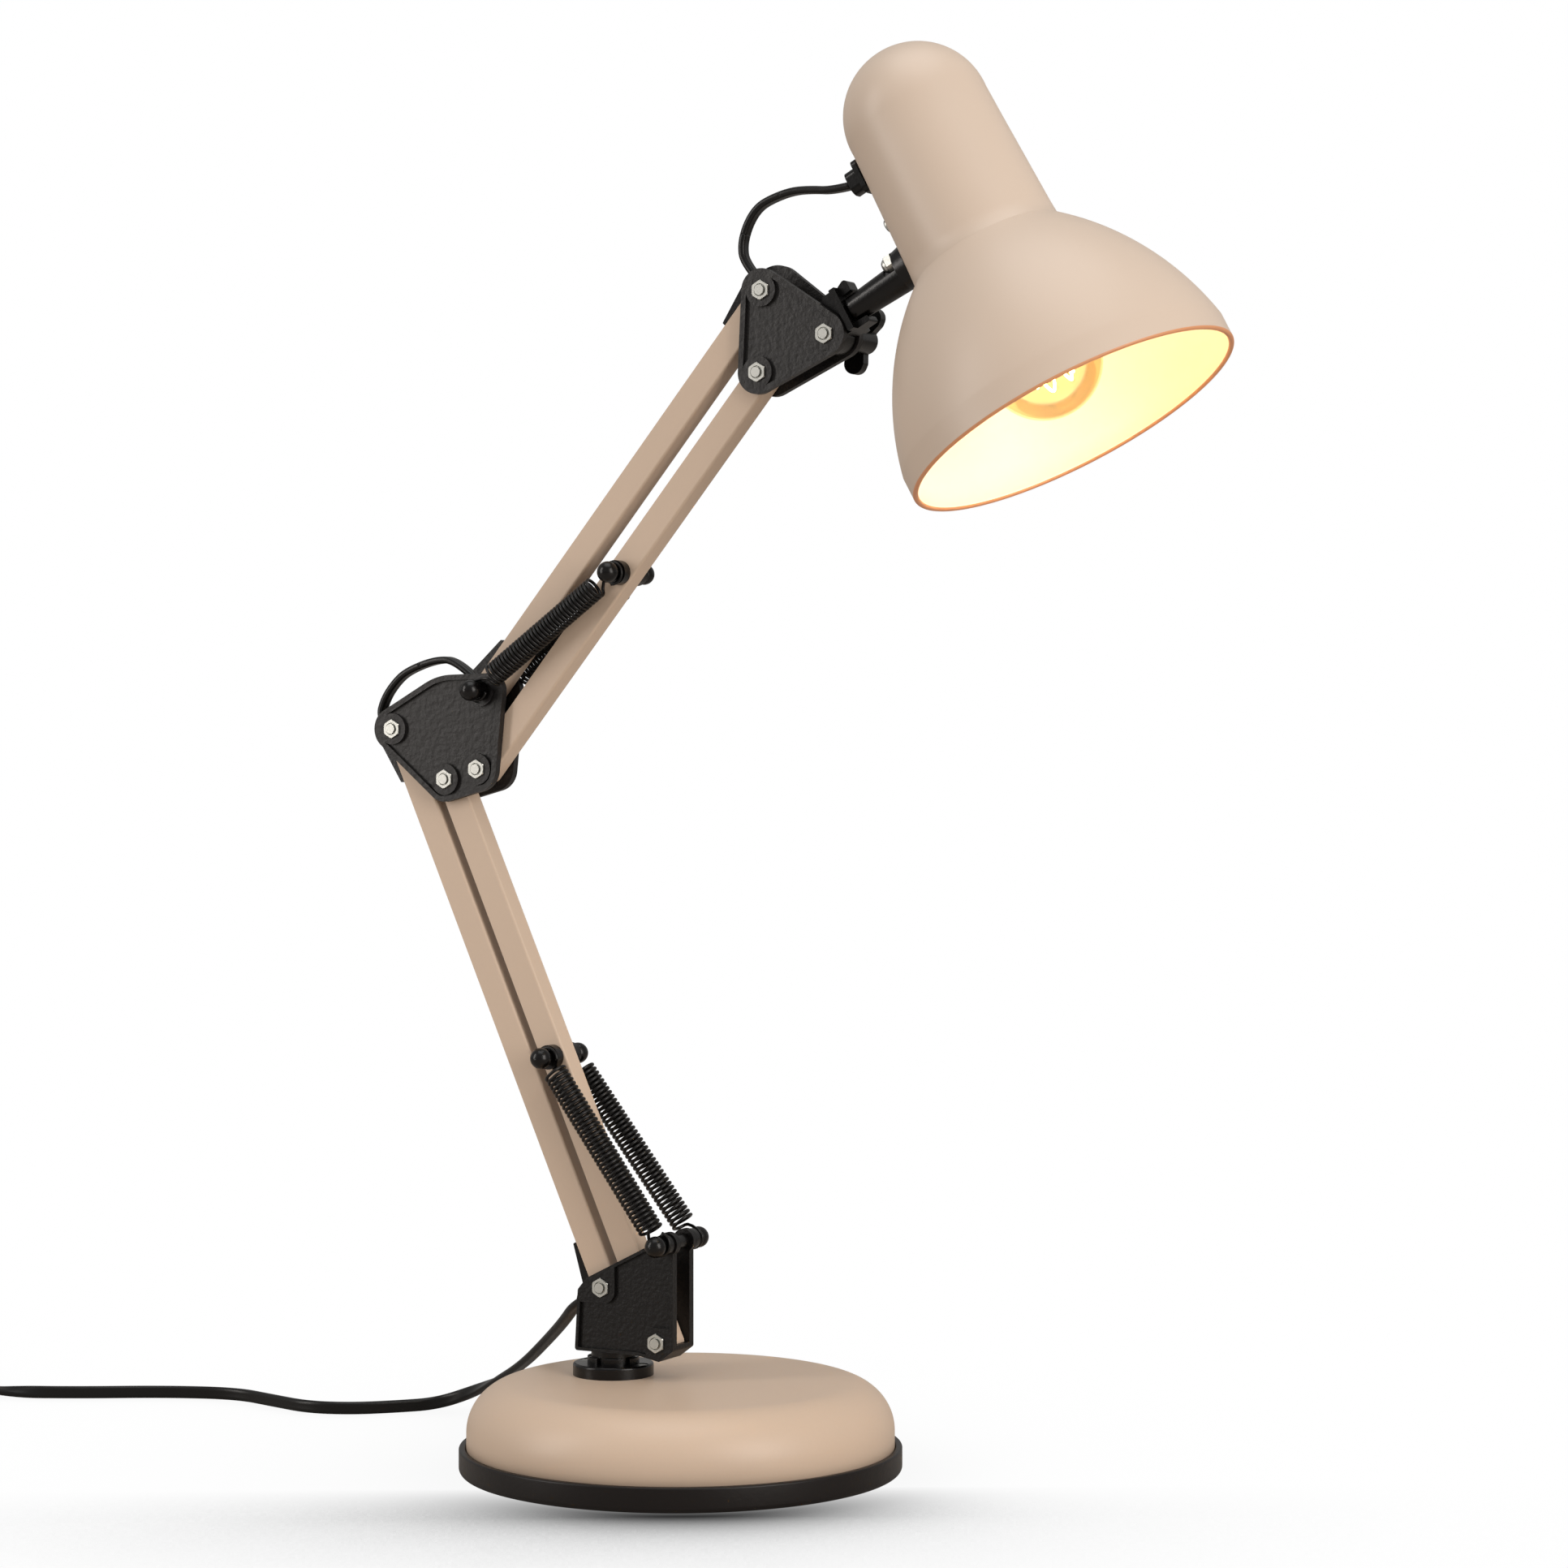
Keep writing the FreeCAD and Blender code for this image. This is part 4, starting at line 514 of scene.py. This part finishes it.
def short_loop(name, route, replaced):
    """A link of cord between two bodies, too short to be a free cord."""
    points = route_points(name + "_line", route)
    verts, faces = follow(points, twin_section(), in_plane)
    piece = mesh_piece(name, verts, faces, pvc, None, (replaced,))
    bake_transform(piece)


short_loop("elbow_loop_lower", ELBOW_LOWER, "elbow_cord_lower")
short_loop("elbow_loop_upper", ELBOW_UPPER, "elbow_cord_upper")
short_loop("head_loop_lower", HEAD_LOWER, "head_cord_lower")
short_loop("head_loop_middle", HEAD_MIDDLE, "head_cord_middle")
short_loop("head_loop_upper", HEAD_UPPER, "head_cord_upper")

# the spare lead, wound in two layers outside the view
COIL_CENTRE = mm(-482.0, 40.0, 2.25)
COIL_RADIUS = 38.0 * MM
COIL_PITCH = 5.7 * MM
COIL_LAYER = 5.1 * MM
# turns in each layer, and steps to a turn
COIL_TURNS = 2.875
COIL_STEPS = 14
SWITCH_OUT = mm(-439.1, 2.0, 4.0)
PLUG_IN = mm(-520.0, 70.4, 6.85)


def coil_route():
    """From the switch, inwards in the lower layer and outwards in the upper one, and to the plug."""
    inner = COIL_RADIUS - COIL_PITCH * COIL_TURNS
    total = 2 * COIL_TURNS + 0.5
    steps = int(total * COIL_STEPS)
    route = [SWITCH_OUT, SWITCH_OUT + mm(-10, 0, -0.6), SWITCH_OUT + mm(-26, 0, -1.75)]
    for i in range(steps + 1):
        turns = total * i / steps
        if turns <= COIL_TURNS:
            radius, rise = COIL_RADIUS - COIL_PITCH * turns, 0.0
        elif turns <= COIL_TURNS + 0.5:
            radius, rise = inner, (1 - math.cos((turns - COIL_TURNS) * 2 * math.pi)) / 2
        else:
            radius, rise = inner + COIL_PITCH * (turns - COIL_TURNS - 0.5), 1.0
        angle = -math.pi / 2 - 2 * math.pi * turns
        spoke = Vector((radius * math.cos(angle), radius * math.sin(angle), COIL_LAYER * rise))
        route.append(COIL_CENTRE + spoke)
    return route + [PLUG_IN - mm(0, 16, 0.2), PLUG_IN - mm(0, 6, 0), PLUG_IN]


flat_cord("lead_coil", coil_route(), ("base",), ("mains_coil",), lying)


# ---------------------------------------------------------------- springs
# half the wire's thickness
WIRE = 0.66 * MM
# the hooks' grooves, sideways from the arms' middle plane
PIN_GROOVE = 13.2 * MM
ELBOW_GROOVE = 11.2 * MM
STUD_GROOVE = 10.3 * MM
# coil radius, pin to coil, and turns
LOWER_COIL, LOWER_HOOK, LOWER_TURNS = 4.6 * MM, 6.9 * MM, 40
UPPER_COIL, UPPER_HOOK, UPPER_TURNS = 4.4 * MM, 9.5 * MM, 36
# from a pin's axis to the middle of the hook's wire
HOOK_HOLD = 3.85 * MM
# degrees: how far a hook goes round, and the angle where its open end is
HOOK_ROUND = 220
HOOK_GAP = 50
# turns that the hooks take from the coil, half at each end
HOOK_TURNS = 0.5


def spring(name, start, end, radius, reach, turns, body, replaced, sign):
    """A close-wound tension spring with a round hook at each end."""
    axis = (end - start).normalized()
    cross = SIDE.cross(axis).normalized() * sign
    out = axis.cross(cross).normalized()
    shift = radius - HOOK_HOLD
    coil = (end - start).length - 2 * reach
    points = []
    per_turn = 28
    hook_steps = 22
    for i in range(hook_steps):
        angle = math.radians(-HOOK_GAP - HOOK_ROUND * i / hook_steps)
        points.append(start + axis * shift + (axis * math.cos(angle) + cross * math.sin(angle)) * radius)
    count = int((turns - HOOK_TURNS) * per_turn)
    for i in range(count + 1):
        t = HOOK_TURNS / 2 + i / per_turn
        angle = 2 * math.pi * t
        along = reach + coil * (t - HOOK_TURNS / 2) / (turns - HOOK_TURNS)
        points.append(start + axis * along + (cross * math.cos(angle) + out * math.sin(angle)) * radius)
    for i in range(1, hook_steps + 1):
        angle = math.radians(-HOOK_GAP - HOOK_ROUND + HOOK_ROUND * i / hook_steps)
        points.append(end - axis * shift + (cross * math.sin(angle) - axis * math.cos(angle)) * radius)
    verts, faces = follow(smooth_line(points), circle(WIRE, 10))
    mesh_piece(name, verts, faces, spring_steel, body, replaced)


def smooth_line(points):
    """Averages neighbours a little so that hooks run into the coil without a kink."""
    line = [p.copy() for p in points]
    for _ in range(2):
        line = [line[0]] + [(a + b * 2 + c) / 4 for a, b, c in zip(line, line[1:], line[2:])] + [line[-1]]
    return line


for side, sign in (("front", -1), ("rear", 1)):
    out = SIDE * sign
    spring(f"tension_spring_lower_{side}", BASE_PIN + out * PIN_GROOVE, LOWER_STUD + out * STUD_GROOVE,
           LOWER_COIL, LOWER_HOOK, LOWER_TURNS, "link_b", (f"lower_spring_{side}",), sign)
    spring(f"tension_spring_upper_{side}", UPPER + out * ELBOW_GROOVE, UPPER_STUD + out * STUD_GROOVE,
           UPPER_COIL, UPPER_HOOK, UPPER_TURNS, "link_d", (f"upper_spring_{side}",), sign)


# ---------------------------------------------------------------- turned pieces
def corner(profile, steps):
    """Rounds the corners of a (radius, height, round) profile, in so many steps each."""
    points = []
    count = len(profile)
    for i, (r, h, soft) in enumerate(profile):
        here = Vector((r, h))
        if not soft:
            points.append((r, h))
            continue
        back = (Vector(profile[i - 1][:2]) - here).normalized()
        ahead = (Vector(profile[(i + 1) % count][:2]) - here).normalized()
        half = math.acos(max(-1, min(1, back.dot(ahead)))) / 2
        reach = soft / math.tan(half)
        centre = here + (back + ahead).normalized() * (soft / math.sin(half))
        first, last = here + back * reach, here + ahead * reach
        a = math.atan2(first.y - centre.y, first.x - centre.x)
        b = math.atan2(last.y - centre.y, last.x - centre.x)
        sweep = (b - a + math.pi) % (2 * math.pi) - math.pi
        for k in range(steps + 1):
            angle = a + sweep * k / steps
            points.append((centre.x + soft * math.cos(angle), centre.y + soft * math.sin(angle)))
    return points


# the shade, in millimetres of radius and of height over its rim
SHADE_WALL = 1.0
BEAD = (65.8, 0.2)
BEAD_RADIUS = 1.1
DOME_RADIUS = 28.569
SHADE_DEPTH = 163.5
NECK_TOP = (28.5, 133.0)
PAINTED_GLOW_EDGE = 0.1 * MM
CROWN_HEIGHT = 140.0 * MM


def shade_profile():
    """Outer skin from rim to crown, then the inner skin back, with a rolled bead at the rim."""
    outer = arc_points(BEAD, BEAD_RADIUS, -120, 20, 10)
    outer += three_point_arc((66.9, 9.0), (53.6, 45.0), (30.4, 73.5), 60)
    centre = SHADE_DEPTH - DOME_RADIUS
    begin = math.degrees(math.atan2(NECK_TOP[1] - centre, NECK_TOP[0]))
    outer += [(30.0, 80.0), (29.4, 100.0), (28.8, 120.0)]
    outer += arc_points((0, centre), DOME_RADIUS, begin, 90, 40)
    inner = arc_points((0, centre), DOME_RADIUS - SHADE_WALL, 90, begin, 30)
    inner += [(27.8, 120.0), (28.4, 100.0), (29.0, 80.0)]
    inner += three_point_arc((29.5, 72.9), (52.88, 44.3), (65.9, 9.0), 50)
    inner += arc_points(BEAD, BEAD_RADIUS, 110, 230, 8)
    return outer, inner


def build_shade():
    """The shade's one sheet; a row of its UV map tells beige outside, the edge's painted glow and cream
    inside apart.
    """
    outer, inner = shade_profile()
    piece = lathe("shade_skin", outer + inner, RIM, SHADE_UP, shade_look_with_edge_glow, "shade", ("shade_shell",), 256)
    layer = piece.data.uv_layers.new(name="UVMap")
    for polygon in piece.data.polygons:
        middle = polygon.center - RIM
        height = middle.dot(SHADE_UP)
        spoke = middle - SHADE_UP * height
        under_crown = height > CROWN_HEIGHT and polygon.normal.dot(SHADE_UP) < 0
        row = 0.9 if under_crown or polygon.normal.dot(spoke) < 0 else 0.1
        # the rolled edge below this height takes the row with the painted glow
        if height < PAINTED_GLOW_EDGE:
            row = 0.5
        for loop in polygon.loop_indices:
            layer.data[loop].uv = (0.5, row)


build_shade()
# radius, height and rounding in millimetres
COVER = [(0, 34.7, 0), (83.8, 34.7, 18.3), (83.8, 3.0, 0), (85.0, 3.0, 0), (85.0, 35.9, 19.5), (0, 35.9, 0)]
lathe("base_dome", corner(COVER, 24), mm(0, 0, 0), UP, beige, "base", ("base_cover",), 256)
RING = [(73.0, 0.5, 0), (88.0, 0.5, 2.2), (88.0, 10.4, 0.8), (85.3, 10.4, 0.5), (85.3, 3.0, 0),
        (73.0, 3.0, 0)]
lathe("base_ring", corner(RING, 8), mm(0, 0, 0), UP, brown, "base", ("foot_ring",), 256)


# the bulb, in millimetres of radius and of height over the shade's rim
GLOBE_CENTRE = 26.0
GLOBE_RADIUS = 22.5
GLASS_WALL = 0.8
# the wire's ring lies beyond the mount's tip, in a zigzag of five waves
ZIGZAG_RADIUS = 8.5
ZIGZAG_MIDDLE = 20.5
ZIGZAG_RISE = 4.5
ZIGZAG_WAVES = 5
ZIGZAG_SWEEP = 300
ZIGZAG_STEPS = 150
FILAMENT_WIRE = 0.55 * MM


def bulb():
    """A globe bulb: thin glass, the glass mount with a painted glow, and a ring of zigzag wire beyond its
    tip.
    """
    low = arc_points((0, GLOBE_CENTRE), GLOBE_RADIUS, -90, 49, 60)
    neck = [(13.2, 45.5), (12.0, 48.0), (11.7, 50.0)]
    inside = [(10.9, 50.0), (11.3, 47.6), (12.6, 44.8)]
    inside += arc_points((0, GLOBE_CENTRE), GLOBE_RADIUS - GLASS_WALL, 47, -90, 50)
    lathe("bulb_globe", low + neck + inside, RIM, SHADE_UP, glass, "shade", ("bulb_glass",), 96)
    stem = [(0, 30.0), (2.2, 30.0), (2.6, 34.0), (2.4, 42.0), (4.0, 50.0), (0, 50.0)]
    lathe("bulb_mount", stem, RIM, SHADE_UP, glass_mount_painted_glow, "shade", (), 32)
    points = []
    for i in range(ZIGZAG_STEPS):
        t = i / (ZIGZAG_STEPS - 1)
        angle = math.radians(ZIGZAG_SWEEP * (t - 0.5))
        ring = (STEM_WAY * math.cos(angle) + SIDE * math.sin(angle)) * ZIGZAG_RADIUS * MM
        wave = math.cos(2 * math.pi * ZIGZAG_WAVES * t)
        points.append(RIM + ring + SHADE_UP * (ZIGZAG_MIDDLE + ZIGZAG_RISE * wave) * MM)
    verts, faces = follow(points, circle(FILAMENT_WIRE, 6))
    mesh_piece("bulb_wire", verts, faces, tungsten, "shade", ("bulb_filament",))


bulb()


# ---------------------------------------------------------------- nuts and screws
def hex_profile(flats, angle):
    """The distance from the middle to a hexagon's side at an angle in degrees."""
    return flats / 2 / math.cos(math.radians((angle + 30) % 60 - 30))


# a nut's sides end at this share of its height, less this share of how far its corners pass the flats
FACE_START = 0.93
CORNER_FALL = 0.4
# the face is at most this share of the flats wide, and set in by at least this much
FACE_SHARE = 1.05
NUT_EDGE = 0.12 * MM
NUT_STEPS = 72


def hex_head(name, places, axis, flats, height, low, bolt, body, replaced):
    """Chamfered nuts with the bolt's end or a dome in the middle; axis points outwards."""
    across = axis.orthogonal().normalized()
    if abs(axis.y) > 0.9:
        across = Vector((1, 0, 0))
    around = axis.cross(across)
    angles = [360 * k / NUT_STEPS for k in range(NUT_STEPS)]
    spokes = [across * math.cos(math.radians(a)) + around * math.sin(math.radians(a)) for a in angles]
    hexagon = [hex_profile(flats, a) for a in angles]
    verts, faces = [], []
    for place in places:
        seat = place + axis * low
        shoulder = seat + axis * height * FACE_START
        top = seat + axis * height
        rings = [[seat + spoke * reach for spoke, reach in zip(spokes, hexagon)]]
        rings.append([shoulder - axis * CORNER_FALL * (reach - flats / 2) + spoke * reach
                      for spoke, reach in zip(spokes, hexagon)])
        rings.append([top + spoke * min(reach - NUT_EDGE, flats / 2 * FACE_SHARE)
                      for spoke, reach in zip(spokes, hexagon)])
        for radius, level in bolt:
            rings.append([top + axis * level + spoke * radius for spoke in spokes])
        base = len(verts)
        verts += [v for ring in rings for v in ring]
        faces += [tuple(base + k for k in face) for face in tube_faces(len(rings), NUT_STEPS)]
    mesh_piece(name, verts, faces, zinc, body, replaced, smooth=False)


# radius and height over the face: the bore's chamfer and the bolt's end, or a dome
NUT_RINGS = [(2.5 * MM, 0.0), (2.2 * MM, -0.55 * MM), (1.95 * MM, -0.55 * MM), (1.95 * MM, 0.3 * MM),
             (1.55 * MM, 0.6 * MM)]
DOME_RINGS = [(3.1 * MM, 0.3 * MM), (2.95 * MM, 1.1 * MM), (2.3 * MM, 2.0 * MM), (1.2 * MM, 2.5 * MM)]
FRONT = Vector((0, -1, 0))
NUT_FLATS = 7.0 * MM
NUT_HEIGHT = 3.0 * MM
NUT_SEAT = 6.2 * MM
for group, body, places in (("shoulder", "yaw", (SHOULDER, SHOULDER_REAR)),
                            ("elbow", "elbow", (ELBOW, ELBOW_REAR, UPPER_REAR)),
                            ("head", "head", (HEAD, HEAD_REAR)), ("tilt", "head", (TILT,))):
    replaced = "tilt_nut" if group == "tilt" else f"{group}_nuts"
    hex_head(f"{group}_nut_faces", places, FRONT, NUT_FLATS, NUT_HEIGHT, NUT_SEAT, NUT_RINGS, body,
             (replaced,))

# the domed nut on top of the stem, drawn 2.5 mm to the front of its solid
STEM_NUT = STEM_START + SHADE_UP * 6.1 * MM + STEM_WAY * 37.3 * MM - SIDE * 2.5 * MM
DOME_FLATS = 7.2 * MM
DOME_HEIGHT = 3.2 * MM
hex_head("stem_nut_faces", (STEM_NUT,), -STEM_WAY, DOME_FLATS, DOME_HEIGHT, 0.0, DOME_RINGS, "shade",
         ("stem_nut",))


# ---------------------------------------------------------------- lights and backdrop
def area_light(name, place, target, width, height, power, code="#ffffff"):
    """A soft box that faces its target; metres and watts."""
    data = bpy.data.lights.new(name, "AREA")
    data.shape = "RECTANGLE"
    data.size, data.size_y, data.energy = width, height, power
    data.color = colour(code)[:3]
    lamp = bpy.data.objects.new(name, data)
    lamp.location = place
    lamp.rotation_euler = (Vector(target) - Vector(place)).to_track_quat("-Z", "Y").to_euler()
    bpy.context.scene.collection.objects.link(lamp)


area_light("left", (-1.3, -1.3, 0.8), (0, 0, 0.25), 0.35, 1.5, 14.0, "#fdf7f2")
area_light("right", (1.5, -0.5, 0.7), (0, 0, 0.15), 0.8, 1.2, 17.5, "#fdf7f2")
area_light("top", (0.1, -0.2, 1.8), (0, 0, 0.1), 1.2, 1.2, 8.6)
inside = bpy.data.lights.new("bulb_light", "POINT")
inside.energy = 0.066
inside.color = colour("#fff5e6")[:3]
inside.shadow_soft_size = 0.006
inside_lamp = bpy.data.objects.new("bulb_light", inside)
inside_lamp.location = RIM + SHADE_UP * 27.0 * MM
bpy.context.scene.collection.objects.link(inside_lamp)

world = bpy.data.worlds.new("studio")
bpy.context.scene.world = world
world.use_nodes = True
sky = world.node_tree
for old in list(sky.nodes):
    sky.nodes.remove(old)
paths = add(sky, "ShaderNodeLightPath")
seen = add(sky, "ShaderNodeBackground", {"Color": colour("#ffffff"), "Strength": 1.0})
lighting = add(sky, "ShaderNodeBackground", {"Color": colour("#f4f1ee"), "Strength": 0.45})
choice = add(sky, "ShaderNodeMixShader", {0: paths.outputs["Is Camera Ray"], 1: lighting.outputs[0],
                                          2: seen.outputs[0]})
add(sky, "ShaderNodeOutputWorld", {0: choice.outputs[0]})


def white_floor():
    """A white studio table with a painted contact shadow: occlusion darkens its emission, leaning mostly to
    the front.
    """
    made, tree, shader = material("white_studio_table_painted_shadow")
    for old in list(tree.nodes):
        tree.nodes.remove(old)
    out = add(tree, "ShaderNodeOutputMaterial")
    shown = add(tree, "ShaderNodeLightPath")
    # painted shadow: the camera sees only this emission, darkened by occlusion and leaned towards one fixed
    # direction
    near = add(tree, "ShaderNodeAmbientOcclusion", {"Distance": 0.3}, samples=32)
    deep = add(tree, "ShaderNodeMath", {0: near.outputs["AO"], 1: 8.0}, operation="POWER")
    dark = add(tree, "ShaderNodeMath", {0: 1.0, 1: deep.outputs[0]}, operation="SUBTRACT")
    painted_shadow_depth = add(tree, "ShaderNodeMapRange", {"Value": dark.outputs[0], "From Min": 0.13, "From Max": 1.0})
    place = add(tree, "ShaderNodeNewGeometry")
    front = add(tree, "ShaderNodeVectorMath", {0: place.outputs["Position"], 1: (0.49, -0.87, 0)},
                operation="DOT_PRODUCT")
    painted_shadow_lean = add(tree, "ShaderNodeMapRange", {"Value": front.outputs["Value"], "From Min": 0.035,
                                            "From Max": 0.09, "To Min": 0.06, "To Max": 1.0})
    cast = add(tree, "ShaderNodeMath", {0: painted_shadow_depth.outputs[0], 1: painted_shadow_lean.outputs[0]}, operation="MULTIPLY")
    soft = add(tree, "ShaderNodeMath", {0: 1.0, 1: cast.outputs[0]}, operation="SUBTRACT")
    lit = add(tree, "ShaderNodeEmission", {"Color": colour("#ffffff"), "Strength": soft.outputs[0]})
    grey = add(tree, "ShaderNodeBsdfDiffuse", {"Color": colour("#b8b2ac")})
    both = add(tree, "ShaderNodeMixShader", {0: shown.outputs["Is Camera Ray"], 1: grey.outputs[0],
                                             2: lit.outputs[0]})
    tree.links.new(both.outputs[0], out.inputs["Surface"])
    return made


floor_mesh = bpy.data.meshes.new("studio_table")
span = 30.0
corners = [(-span, -span, 0), (span, -span, 0), (span, span, 0), (-span, span, 0)]
floor_mesh.from_pydata(corners, [], [(0, 1, 2, 3)])
floor_mesh.materials.append(white_floor())
floor = bpy.data.objects.new("studio_table", floor_mesh)
bpy.context.scene.collection.objects.link(floor)

bpy.context.scene.view_settings.view_transform = "Standard"
